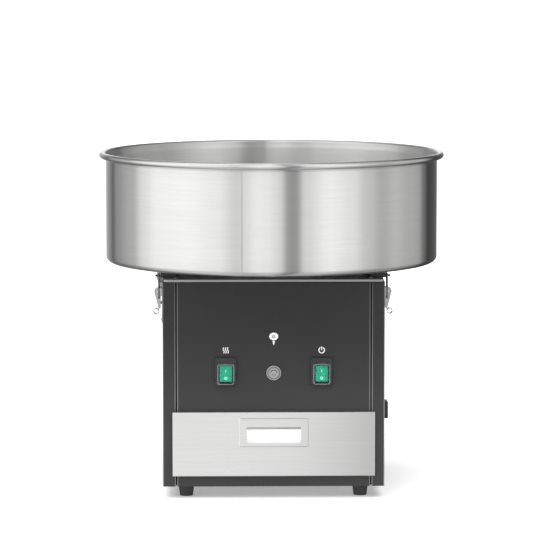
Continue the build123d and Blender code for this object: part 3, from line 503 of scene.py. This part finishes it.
def glass_tube():
    """Thin clear glass."""
    mat = Surface("glass_tube", (0.9, 0.95, 0.95), 0.0, 0.05, Alpha=0.3)
    mat.gloss(mat.noise(mat.stretched(300)), 0.03, 0.08)
    return mat.material


def heat_stained():
    """Steel sheath stained brown and blue by heat."""
    brown, blue = (0.34, 0.25, 0.18, 1), (0.20, 0.21, 0.28, 1)
    mat = Surface("heat_stained", (0.30, 0.26, 0.24), 1.0, 0.4)
    stain = mat.noise(mat.stretched(40), detail=4.0)
    mat.paint(mat.mixed(mat.fit(stain, 0.0, 1.0), brown, blue))
    mat.gloss(stain, 0.3, 0.55)
    mat.bump(mat.noise(mat.stretched(1500)), 0.03 * MM, 0.5)
    return mat.material


def laminations():
    """Stacked sheet steel under varnish."""
    mat = Surface("laminations", (0.30, 0.29, 0.28), 1.0, 0.45)
    stack = mat.noise(mat.stretched(3, 3, 2000), detail=1.0)
    mat.tint(stack, 0.6, 1.1)
    mat.gloss(stack, 0.35, 0.55)
    mat.bump(stack, 0.1 * MM, 0.6)
    return mat.material


def make_materials():
    """One material for each finish of the record, plus those that a single node or a new piece uses."""
    return {
        # Painted light in the housing's colour: bends up to seven times lighter as highlights, and the lower
        # part up to 1.95 times lighter as light from the floor.
        "housing_paint": powder_coat(
            "housing_paint", (0.0168, 0.0165, 0.0165), bend_painted_highlight=7.0, floor_painted_light=1.95
        ),
        "brushed_stainless": straight_steel("flat_steel", "x", (0.93, 0.927, 0.922), bow=0.36),
        "galvanised_steel": plated_steel("galvanised", (0.62, 0.63, 0.64), (0.3, 0.5), 45.0),
        "black_steel": powder_coat("bracket_paint", (0.03, 0.03, 0.032)),
        "zinc_latch": plated_steel("latch_plate", (0.50, 0.50, 0.505), (0.16, 0.3), 120.0),
        "spring_wire": plated_steel("spring_wire", (0.26, 0.26, 0.265), (0.25, 0.4), 200.0),
        "screw_steel": plated_steel("screw_plate", (0.72, 0.72, 0.73), (0.2, 0.36), 200.0),
        "black_rubber": moulded("black_rubber", (0.034, 0.034, 0.035), (0.5, 0.7), 900.0, 0.08 * MM),
        "black_plastic": moulded("black_plastic", (0.025, 0.025, 0.027)),
        "boot_frame_plastic": moulded("boot_frame", (0.016, 0.018, 0.02), (0.22, 0.34), 1200.0, 0.02 * MM),
        "clear_cover": clear_vinyl(),
        # The rockers' faint glow is painted light.
        "green_rocker": green_painted_glow(),
        "grey_plastic": moulded("grey_plastic", (0.29, 0.29, 0.295), (0.25, 0.36), 1500.0, 0.02 * MM),
        "brass": turned_metal("brass", (0.78, 0.58, 0.28), (0.2, 0.35)),
        "carbon": moulded("carbon", (0.03, 0.03, 0.03), (0.5, 0.7)),
        "glass_tube": glass_tube(),
        "laminated_steel": laminations(),
        "motor_shell": powder_coat("motor_shell", (0.10, 0.10, 0.11)),
        "cast_aluminium": turned_metal("turned_aluminium", (0.80, 0.80, 0.81)),
        "heater_steel": heat_stained(),
        "bearing_steel": turned_metal("ground_steel", (0.70, 0.70, 0.72), (0.14, 0.24), 1200.0),
        "insulator": moulded("insulator", (0.24, 0.11, 0.05), (0.3, 0.45)),
        "spun_steel": spun_steel(),
        # The same stainless as the drawer front, painted darker as shade under the bowl.
        "deck_steel_painted_shade": straight_steel("deck_steel_painted_shade", "x", (0.52, 0.518, 0.515), (0.34, 0.44)),
        "seam_steel": straight_steel("seam_steel", "z", (0.60, 0.598, 0.595), (0.28, 0.36)),
        "pull_liner": white_liner_painted_glow(),
        "vinyl_edge_painted_highlight": vinyl_edge_painted_highlight(),
        "dark_print_and_groove_shade": moulded("dark_print_and_groove_shade", (0.03, 0.03, 0.032), (0.4, 0.55)),
        "green_print": moulded("green_print", (0.42, 0.85, 0.66), (0.35, 0.45)),
        "white_print": white_print(),
    }


PAINTED_SHADE_NODES = {"deck_plate": "deck_steel_painted_shade"}    # nodes whose colour differs from their slot's: the deck's darker steel is painted shade


def dress_cad_nodes():
    """Every CAD node that stays takes the material of its slot, but the deck takes a darker copy of its
    steel, as painted shade.
    """
    for part in frame["record"]["subparts"]:
        mesh = frame["nodes"][part["node"]].data
        mesh.materials.clear()
        mesh.materials.append(materials[PAINTED_SHADE_NODES.get(part["node"], part["material_slot"])])


# ---- Mesh helpers --------------------------------------------------------------------
SAME_SPOT = 0.0001 * MM
FRONTWARDS = Vector((0, -1, 0))


def add_piece(name, mesh, slot, body, material=None):
    """Puts a mesh in the scene, with the material of its slot, riding on a body."""
    piece = bpy.data.objects.new(name, mesh)
    bpy.context.scene.collection.objects.link(piece)
    mesh.materials.clear()
    mesh.materials.append(materials[material or slot])
    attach(piece, body)
    return piece


def crease(work, angle):
    """Keeps the shading sharp at edges that turn by more than an angle in degrees."""
    for edge in work.edges:
        if len(edge.link_faces) == 2 and edge.calc_face_angle(0.0) > radians(angle):
            edge.smooth = False


def mesh_from(name, vertices, faces, smooth_angle=30.0):
    """Smooth-shaded mesh whose edges stay sharp above an angle in degrees."""
    mesh = bpy.data.meshes.new(name)
    mesh.from_pydata(vertices, [], faces)
    work = bmesh.new()
    work.from_mesh(mesh)
    bmesh.ops.recalc_face_normals(work, faces=work.faces)
    for face in work.faces:
        face.smooth = True
    crease(work, smooth_angle)
    work.to_mesh(mesh)
    work.free()
    return mesh


def lathe(name, outline, steps, centre=(0.0, 0.0), smooth_angle=30.0):
    """Closed outline of (radius, height) points turned all the way round an upright axis."""
    vertices = []
    faces = []
    count = len(outline)
    for i in range(steps):
        angle = 2 * pi * i / steps
        for radius, height in outline:
            vertices.append((centre[0] + radius * cos(angle), centre[1] + radius * sin(angle), height))
    for i in range(steps):
        here, there = i * count, (i + 1) % steps * count
        for j in range(count):
            k = (j + 1) % count
            faces.append((here + j, there + j, there + k, here + k))
    return mesh_from(name, vertices, faces, smooth_angle)


def arc(centre, radius, start, end, steps):
    """Points on an arc, angles in degrees."""
    points = []
    for i in range(steps + 1):
        angle = radians(start + (end - start) * i / steps)
        points.append((centre[0] + radius * cos(angle), centre[1] + radius * sin(angle)))
    return points


def thickened(line, thickness):
    """Closed outline of a sheet whose middle follows an open line."""
    left, right = [], []
    for i, (x, y) in enumerate(line):
        x0, y0 = line[max(0, i - 1)]
        x1, y1 = line[min(len(line) - 1, i + 1)]
        length = hypot(x1 - x0, y1 - y0)
        nx, ny = -(y1 - y0) / length, (x1 - x0) / length
        left.append((x + nx * thickness / 2, y + ny * thickness / 2))
        right.append((x - nx * thickness / 2, y - ny * thickness / 2))
    return left + right[::-1]


def extruded(name, outline, y_front, depth, holes=()):
    """Thin upright plate facing the front, from an outline of (x, z) points, with holes cut through."""
    curve = bpy.data.curves.new(name, "CURVE")
    curve.dimensions = "2D"
    curve.fill_mode = "BOTH"
    curve.extrude = depth / 2
    for ring in (outline, *holes):
        spline = curve.splines.new("POLY")
        spline.points.add(len(ring) - 1)
        for point, (x, z) in zip(spline.points, ring):
            point.co = (x, z, 0, 1)
        spline.use_cyclic_u = True
    holder = bpy.data.objects.new(name, curve)
    mesh = bpy.data.meshes.new_from_object(holder)
    bpy.data.objects.remove(holder)
    bpy.data.curves.remove(curve)
    turn = Matrix.Rotation(radians(90), 4, "X")
    mesh.transform(Matrix.Translation((0, y_front + depth / 2, 0)) @ turn)
    work = bmesh.new()
    work.from_mesh(mesh)
    bmesh.ops.remove_doubles(work, verts=work.verts, dist=SAME_SPOT)
    bmesh.ops.recalc_face_normals(work, faces=work.faces)
    work.to_mesh(mesh)
    work.free()
    return mesh


def joined(name, meshes):
    """Several meshes as one."""
    work = bmesh.new()
    for mesh in meshes:
        work.from_mesh(mesh)
        bpy.data.meshes.remove(mesh)
    result = bpy.data.meshes.new(name)
    work.to_mesh(result)
    work.free()
    return result


SOFT_EDGE = 0.35 * MM            # rounding of the sheets' edges
SOFT_STEPS = 2
SOFT_ANGLE = 35.0                # degrees; an edge that turns more is rounded
CREASE_ANGLE = 40.0              # degrees; an edge that still turns more is shaded sharp
STRIP_WIDTH = 3.0 * MM           # a face wider than this is a flat sheet, and narrower ones are bends
WELD_GAP = 0.002 * MM            # corners nearer than this are one


def softened(node):
    """A copy of a CAD node with its sharp edges rounded, shown in the node's place."""
    source = frame["nodes"][node]
    mesh = source.data.copy()
    mesh.name = node + "_rounded"
    work = bmesh.new()
    work.from_mesh(mesh)
    bmesh.ops.remove_doubles(work, verts=work.verts, dist=WELD_GAP)
    bmesh.ops.dissolve_limit(
        work, angle_limit=radians(1.0), use_dissolve_boundaries=False, verts=work.verts, edges=work.edges
    )
    sharp = [
        edge for edge in work.edges
        if len(edge.link_faces) == 2 and edge.calc_face_angle(0.0) > radians(SOFT_ANGLE)
    ]
    bmesh.ops.bevel(
        work, geom=sharp, offset=SOFT_EDGE, segments=SOFT_STEPS, profile=0.5,
        affect="EDGES", clamp_overlap=True,
    )
    for face in work.faces:
        face.smooth = face.calc_area() < STRIP_WIDTH / 2 * face.calc_perimeter()
    crease(work, CREASE_ANGLE)
    work.to_mesh(mesh)
    work.free()
    slot = [part["material_slot"] for part in frame["record"]["subparts"] if part["node"] == node][0]
    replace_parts(add_piece(node + "_rounded", mesh, slot, source["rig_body"]), node)


# ---- Bowl ----------------------------------------------------------------------------
BOWL_SHEET = 1.2 * MM
BEAD_RADIUS = 4.9 * MM
BOWL_WALL_INSET = 10.0 * MM      # rim edge to the wall's outer face
BOWL_CORNER = 8.0 * MM
COLLAR_RADIUS = 80.0 * MM
COLLAR_HEIGHT = 24.5 * MM
FLARE_HEIGHT = 9.0 * MM          # the wall leans out over this, below the bead
SEAM_ANGLE = radians(-101.0)
SEAM_WIDTH = 3.0 * MM
SEAM_RISE = 0.05 * MM            # how proud its middle stands
SEAM_ROOT = 0.1 * MM             # how deep its back lies in the sheet
SEAM_TOP_GAP = 14.0 * MM
SEAM_STEPS = 6


def bowl_outline():
    """Middle line of the bowl's sheet, from the collar's lip to the end of the rolled bead.

    The flat floor and the wall are cut across a few times, so that no face is a long sliver.
    """
    low, high, centre = span("bowl_pan")
    half = BOWL_SHEET / 2
    rim = high.x - centre.x
    floor = low.z + half
    wall = rim - BOWL_WALL_INSET - half
    bead = BEAD_RADIUS - half
    bead_left = rim - BEAD_RADIUS - bead
    bead_height = high.z - BEAD_RADIUS
    flare_start = bead_height - FLARE_HEIGHT
    turn = 2 * atan((bead_left - wall) / FLARE_HEIGHT)
    flare = FLARE_HEIGHT / 2 / sin(turn)
    line = [(COLLAR_RADIUS, low.z + COLLAR_HEIGHT)]
    line += arc((COLLAR_RADIUS + BOWL_CORNER, floor + BOWL_CORNER), BOWL_CORNER, 180, 270, 10)
    floor_start, floor_end = COLLAR_RADIUS + BOWL_CORNER, wall - BOWL_CORNER
    line += [(floor_start + (floor_end - floor_start) * i / 10, floor) for i in range(1, 10)]
    line += arc((wall - BOWL_CORNER, floor + BOWL_CORNER), BOWL_CORNER, 270, 360, 12)
    wall_start = floor + BOWL_CORNER
    line += [(wall, wall_start + (flare_start - wall_start) * i / 8) for i in range(1, 8)]
    line += arc((wall + flare, flare_start), flare, 180, 180 - degrees(turn), 3)
    line += arc((bead_left - flare, bead_height), flare, -degrees(turn), 0, 3)[1:]
    line += arc((bead_left + bead, bead_height), bead, 180, -120, 30)[1:]
    return line


def make_bowl():
    """Smooth bowl with a rolled rim."""
    mesh = lathe("bowl_shell", thickened(bowl_outline(), BOWL_SHEET), 360)
    bowl = add_piece("bowl_shell", mesh, "brushed_stainless", "bowl", "spun_steel")
    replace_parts(bowl, "bowl_pan")


def make_weld_seam():
    """Low rounded bead up the outside of the wall."""
    low, high, centre = span("bowl_pan")
    radius = high.x - centre.x - BOWL_WALL_INSET
    vertices = []
    for z in (low.z + BOWL_CORNER, high.z - SEAM_TOP_GAP):
        for i in range(SEAM_STEPS + 1):
            share = i / SEAM_STEPS * 2 - 1
            out = radius + SEAM_RISE * (1 - share * share)
            angle = SEAM_ANGLE + share * SEAM_WIDTH / 2 / radius
            vertices.append((out * cos(angle), out * sin(angle), z))
        root = radius - SEAM_ROOT
        vertices.append((root * cos(SEAM_ANGLE), root * sin(SEAM_ANGLE), z))
    row = SEAM_STEPS + 2
    faces = [(i, (i + 1) % row, (i + 1) % row + row, i + row) for i in range(row)]
    faces += [tuple(range(row)), tuple(range(2 * row - 1, row - 1, -1))]
    seam = mesh_from("bowl_weld_seam", vertices, faces)
    add_piece("bowl_weld_seam", seam, "brushed_stainless", "bowl", "seam_steel")


# ---- Feet ----------------------------------------------------------------------------
FOOT_TOP_RADIUS = 12.0 * MM
FOOT_BOTTOM_RADIUS = 9.75 * MM
FOOT_TREAD_ROUND = 1.0 * MM
FOOT_SHOULDER_ROUND = 0.7 * MM
FOOT_RECESS_RADIUS = 5.5 * MM    # for the screw's head
FOOT_RECESS_MOUTH = 5.9 * MM
FOOT_RECESS_HEIGHT = 9.0 * MM
FOOT_MOUTH_HEIGHT = 0.6 * MM
FOOT_HOLE_RADIUS = 2.6 * MM
FOOT_GROOVE_DEPTH = 0.35 * MM
FOOT_GROOVE_HEIGHTS = (13.2 * MM, 13.6 * MM, 14.4 * MM, 14.8 * MM)


def foot_outline(height):
    """Half section of a foot, from the top of its screw recess round to the top of its hole."""
    tread = FOOT_BOTTOM_RADIUS - FOOT_TREAD_ROUND
    shoulder = (FOOT_TOP_RADIUS - FOOT_SHOULDER_ROUND, height - FOOT_SHOULDER_ROUND)
    slope = (FOOT_TOP_RADIUS - FOOT_BOTTOM_RADIUS) / height
    outline = [(FOOT_RECESS_RADIUS, FOOT_RECESS_HEIGHT), (FOOT_RECESS_RADIUS, FOOT_MOUTH_HEIGHT)]
    outline += [(FOOT_RECESS_MOUTH, 0.0), (tread, 0.0)]
    outline += arc((tread, FOOT_TREAD_ROUND), FOOT_TREAD_ROUND, -80, -5, 5)
    for i, z in enumerate(FOOT_GROOVE_HEIGHTS):
        depth = FOOT_GROOVE_DEPTH if i in (1, 2) else 0.0
        outline.append((FOOT_BOTTOM_RADIUS + slope * z - depth, z))
    outline += arc(shoulder, FOOT_SHOULDER_ROUND, 5, 90, 4)
    outline += [(FOOT_HOLE_RADIUS, height), (FOOT_HOLE_RADIUS, FOOT_RECESS_HEIGHT)]
    return outline


def make_feet():
    """Rubber feet with a moulded groove and a rounded tread."""
    low, high, _ = span("rubber_feet")
    outline = foot_outline(high.z - low.z)
    columns = (low.x + FOOT_TOP_RADIUS, high.x - FOOT_TOP_RADIUS)
    rows = (low.y + FOOT_TOP_RADIUS, high.y - FOOT_TOP_RADIUS)
    feet = [lathe("foot", outline, 64, (x, y), 40.0) for x in columns for y in rows]
    mesh = joined("rubber_feet_moulded", feet)
    piece = add_piece("rubber_feet_moulded", mesh, "black_rubber", "housing")
    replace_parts(piece, "rubber_feet")


# ---- Pull ----------------------------------------------------------------------------
LINER_HALF_WIDTH = 40.6 * MM
LINER_SHEET = 0.3 * MM
LINER_BACK_GAP = 1.6 * MM        # the gaps are from the cup's back, floor, top and front
LINER_FLOOR_GAP = 5.2 * MM
LINER_TOP_GAP = 4.6 * MM
LINER_FRONT_GAP = 3.2 * MM
LINER_RISE = 3.0 * MM            # the floor slopes up to the back wall by this
LINER_DROP = 1.0 * MM            # and starts this far below its own level


def liner_sheet(name, front, bottom, back, top, offset):
    """Thin four-sided sheet between two level edges, each at a depth and a height."""
    half = LINER_HALF_WIDTH
    corners = [(-half, front, bottom), (half, front, bottom), (half, back, top), (-half, back, top)]
    corners += [(x + offset[0], y + offset[1], z + offset[2]) for x, y, z in corners]
    faces = [(0, 1, 2, 3), (7, 6, 5, 4), (0, 4, 5, 1), (1, 5, 6, 2), (2, 6, 7, 3), (3, 7, 4, 0)]
    return mesh_from(name, corners, faces)


def make_pull_liner():
    """Pale lining on the back wall and floor of the pull's scoop; its glow is painted light."""
    low, high, _ = span("pull_cup")
    back = high.y - LINER_BACK_GAP
    front = low.y + LINER_FRONT_GAP
    floor = low.z + LINER_FLOOR_GAP
    corner = floor + LINER_RISE
    wall = liner_sheet("liner_wall", back, corner, back, high.z - LINER_TOP_GAP, (0, LINER_SHEET, 0))
    ramp = liner_sheet("liner_ramp", front, floor - LINER_DROP, back, corner, (0, 0, LINER_SHEET))
    add_piece("pull_liner", joined("pull_liner", [wall, ramp]), "brushed_stainless", "drawer", "pull_liner")


# ---- Printed marks -------------------------------------------------------------------
PRINT_DEPTH = 0.12 * MM
MARK_LIFT = 10.6 * MM            # above the switch frames' top
FLOSS_LIFT = 17.3 * MM           # above the row of marks


def ribbon(centre_line, width):
    """Outline of a stroke of even width with round ends, about a line of points."""
    half = width / 2
    left, right = [], []
    for i, (x, z) in enumerate(centre_line):
        x0, z0 = centre_line[max(0, i - 1)]
        x1, z1 = centre_line[min(len(centre_line) - 1, i + 1)]
        length = hypot(x1 - x0, z1 - z0)
        nx, nz = -(z1 - z0) / length, (x1 - x0) / length
        left.append((x + nx * half, z + nz * half))
        right.append((x - nx * half, z - nz * half))
    end_angle = degrees(atan2(left[-1][1] - right[-1][1], left[-1][0] - right[-1][0]))
    start_angle = degrees(atan2(right[0][1] - left[0][1], right[0][0] - left[0][0]))
    end_cap = arc(centre_line[-1], half, end_angle, end_angle - 180, 6)[1:-1]
    start_cap = arc(centre_line[0], half, start_angle, start_angle - 180, 6)[1:-1]
    return left + end_cap + right[::-1] + start_cap


def printed(outline, face, holes=()):
    """Layer of ink on a surface that faces the front."""
    return extruded("print", outline, face - PRINT_DEPTH, PRINT_DEPTH, holes)


WAVE_PITCH = 3.1 * MM
WAVE_SWING = 0.9 * MM
WAVE_HEIGHT = 8.0 * MM
WAVE_STROKE = 1.1 * MM


def heat_mark(x, z, face):
    """Three rising waves."""
    strokes = []
    for k in (-1, 0, 1):
        line = []
        for i in range(17):
            t = i / 16
            line.append((x + k * WAVE_PITCH + WAVE_SWING * sin(2 * pi * t), z + (t - 0.5) * WAVE_HEIGHT))
        strokes.append(printed(ribbon(line, WAVE_STROKE), face))
    return joined("heat_mark", strokes)


POWER_RADIUS = 4.1 * MM
POWER_STROKE = 1.25 * MM
POWER_BAR = (0.4 * MM, 2.6 * MM, 4.9 * MM)   # heights above the ring's middle


def power_mark(x, z, face):
    """Open ring with an upright bar in its gap."""
    ring = ribbon(arc((x, z), POWER_RADIUS, 58, -238, 40), POWER_STROKE)
    bar = ribbon([(x, z + height) for height in POWER_BAR], POWER_STROKE)
    return joined("power_mark", [printed(shape, face) for shape in (ring, bar)])


CLOUD_RADIUS = 5.6 * MM
CLOUD_BUMP = 0.75 * MM
CLOUD_LOBES = 9
CLOUD_STRETCH = (1.08, 0.92)
CLOUD_RISE = 3.2 * MM
CURL_START = 0.5 * MM
CURL_GROWTH = 0.55 * MM          # for each unit of the way along
CURL_TURN = 2.6                  # radians for each unit
CURL_STROKE = 0.7 * MM
STICK_TOP = (1.7 * MM, -3.3 * MM)    # half width and height
STICK_POINT = (0.35 * MM, -9.6 * MM)


def floss_mark(x, z, face):
    """Generic pictogram: a cloud of spun sugar with a curl in it, on a pointed stick."""
    middle = z + CLOUD_RISE
    cloud = []
    for i in range(72):
        angle = 2 * pi * i / 72
        radius = CLOUD_RADIUS + CLOUD_BUMP * abs(sin(CLOUD_LOBES * angle / 2))
        wide, tall = [radius * share for share in CLOUD_STRETCH]
        cloud.append((x + wide * cos(angle), middle + tall * sin(angle)))
    curl = []
    for i in range(20):
        way = i / 4
        radius = CURL_START + CURL_GROWTH * way
        curl.append((x + radius * cos(CURL_TURN * way), middle + radius * sin(CURL_TURN * way)))
    (top, top_height), (point, point_height) = STICK_TOP, STICK_POINT
    stick = [(x - top, z + top_height), (x - point, z + point_height)]
    stick += [(x + point, z + point_height), (x + top, z + top_height)]
    holes = [ribbon(curl, CURL_STROKE)]
    return joined("floss_mark", [printed(cloud, face, holes), printed(stick, face)])


def make_marks():
    """White prints on the front panel."""
    face = span("front_panel")[0].y
    left = span("heat_switch_body")[2].x
    right = span("power_switch_body")[2].x
    row = span("boot_frames")[1].z + MARK_LIFT
    prints = {
        "heat_mark": heat_mark(left, row, face),
        "power_mark": power_mark(right, row, face),
        "floss_mark": floss_mark(0.0, row + FLOSS_LIFT, face),
    }
    for name, mesh in prints.items():
        add_piece(name, mesh, "housing_paint", "housing", "white_print")


# ---- Switches and fuse ---------------------------------------------------------------
def tube_round(path, radius, sides=10):
    """Closed tube along a loop of points in a plane facing the front."""
    count = len(path)
    vertices = []
    faces = []
    for i in range(count):
        here, after, before = (Vector(path[k % count]) for k in (i, i + 1, i - 1))
        along = (after - before).normalized()
        side = along.cross(FRONTWARDS).normalized()
        for j in range(sides):
            a = 2 * pi * j / sides
            vertices.append(here + side * (radius * cos(a)) + FRONTWARDS * (radius * sin(a)))
    for i in range(count):
        for j in range(sides):
            a, b = i * sides + j, i * sides + (j + 1) % sides
            c, d = (i + 1) % count * sides + (j + 1) % sides, (i + 1) % count * sides + j
            faces.append((a, b, c, d))
    return mesh_from("tube", vertices, faces, 60.0)


def rounded_loop(x, z, width, height, corner, y):
    """Points round a rectangle with rounded corners, seen from the front."""
    points = []
    for cx, cz, start in ((1, 1, 0), (-1, 1, 90), (-1, -1, 180), (1, -1, 270)):
        middle = (x + cx * (width / 2 - corner), z + cz * (height / 2 - corner))
        points += [(px, y, pz) for px, pz in arc(middle, corner, start, start + 90, 8)]
    return points


def ring_plate(radii, x, z, face, depth, start=0.0, end=360.0):
    """Flat ring or part of one, facing the front; radii are its outer and inner ones."""
    outer, inner = radii
    if end - start >= 360.0:
        outside, inside = [arc((x, z), radius, 0, 360, 64)[:-1] for radius in radii]
        return extruded("ring", outside, face, depth, [inside])
    stroke = ribbon(arc((x, z), (outer + inner) / 2, start, end, 32), outer - inner)
    return extruded("ring", stroke, face, depth)


LIP_FRONT = (1.1 * MM, 2.6 * MM, 0.55 * MM)  # inset from the cover's side, corner and thickness
LIP_FOOT = (0.25 * MM, 3.0 * MM, 0.45 * MM)
LIP_FRONT_BACK = 0.9 * MM        # behind the cover's face
LIP_FOOT_FORWARD = 1.2 * MM      # in front of its back


def make_boot_lips():
    """Edge round each clear cover, with a second one at its foot; their light grey is a painted highlight."""
    low, high, middle = span("boot_windows")
    half_width = high.x - span("power_switch_body")[2].x
    half_height = (high.z - low.z) / 2

    def lip(x, y, inset, corner, radius):
        width, height = 2 * (half_width - inset), 2 * (half_height - inset)
        return tube_round(rounded_loop(x, middle.z, width, height, corner, y), radius)

    for name in ("heat", "power"):
        x = span(name + "_switch_body")[2].x
        front = lip(x, low.y + LIP_FRONT_BACK, *LIP_FRONT)
        foot = lip(x, high.y - LIP_FOOT_FORWARD, *LIP_FOOT)
        lips = joined(name + "_cover_lip", [front, foot])
        add_piece(name + "_cover_lip", lips, "clear_cover", "housing", "vinyl_edge_painted_highlight")


def joint_place(name):
    """Point on a joint's axis, from the record."""
    joints = frame["record"]["behaviour"]["joints"]
    return Vector([joint for joint in joints if joint["name"] == name][0]["pos_m"])


ROCKER_TILT = -7.0               # degrees; as it rests, upper half pressed in
ROCKER_SLOPE = 7.4               # degrees; each half slopes down to the valley between them
ROCKER_VALLEY = 5.9 * MM         # from the pivot out to the valley
ROCKER_BAR = (3.0 * MM, 4.6 * MM, 6.2 * MM)  # heights above the pivot
ROCKER_BAR_STROKE = 1.1 * MM
ROCKER_RING = (2.2 * MM, 1.1 * MM)           # outer and inner radius
ROCKER_RING_HEIGHT = -6.2 * MM


def make_rocker_marks():
    """I and O on the two halves of each rocker."""
    for name in ("heat_rocker", "power_rocker"):
        bar = extruded("bar", ribbon([(0, z) for z in ROCKER_BAR], ROCKER_BAR_STROKE), 0, PRINT_DEPTH)
        ring = ring_plate(ROCKER_RING, 0, ROCKER_RING_HEIGHT, 0, PRINT_DEPTH)
        bar.transform(Matrix.Rotation(radians(ROCKER_SLOPE), 4, "X"))
        ring.transform(Matrix.Rotation(radians(-ROCKER_SLOPE), 4, "X"))
        marks = joined(name + "_marks", [bar, ring])
        out = Matrix.Translation((0, -ROCKER_VALLEY - PRINT_DEPTH, 0))
        tip = Matrix.Rotation(radians(ROCKER_TILT), 4, "X")
        marks.transform(Matrix.Translation(joint_place(name + "_tilt")) @ tip @ out)
        add_piece(name + "_marks", marks, "green_rocker", name, "green_print")


FLANGE_GROOVE = (9.35 * MM, 8.25 * MM)       # outer and inner radius, as are the next two
CAP_GROOVE = (5.15 * MM, 3.85 * MM)
CAP_STROKE = (3.3 * MM, 2.7 * MM)
GROOVE_SINK = 0.62 * MM          # how deep the dark rings lie


def make_fuse_marks():
    """Dark ring in the flange's groove and two arcs on the cap; the ring and the arc in the cap's groove are
    painted shade, the other arc is print.
    """
    cap_low, _, middle = span("fuse_cap")
    flange = span("fuse_holder")
    x, z = flange[2].x, middle.z
    half = PRINT_DEPTH / 2
    # Painted shade: a dark ring sunk in the flange's groove.
    ring = ring_plate(FLANGE_GROOVE, x, z, flange[0].y + GROOVE_SINK, half)
    add_piece("fuse_groove_shade", ring, "grey_plastic", "housing", "dark_print_and_groove_shade")
    # Painted shade in the upper part of the cap's groove; the stroke on the cap's face is print.
    groove = ring_plate(CAP_GROOVE, x, z, cap_low.y + GROOVE_SINK, half, 20, 160)
    stroke = ring_plate(CAP_STROKE, x, z, cap_low.y - half, PRINT_DEPTH, 200, 340)
    marks = joined("fuse_cap_mark_and_groove_shade", [groove, stroke])
    add_piece("fuse_cap_mark_and_groove_shade", marks, "grey_plastic", "fuse_cap", "dark_print_and_groove_shade")


# ---- Everything ----------------------------------------------------------------------
materials = {}


def main():
    make_camera()
    make_studio()
    materials.update(make_materials())
    make_floor()
    make_overhead_light()
    dress_cad_nodes()
    make_bowl()
    make_weld_seam()
    make_feet()
    make_pull_liner()
    make_marks()
    make_boot_lips()
    make_rocker_marks()
    make_fuse_marks()
    for node in ("front_panel", "left_side_panel", "right_side_panel"):
        softened(node)


main()
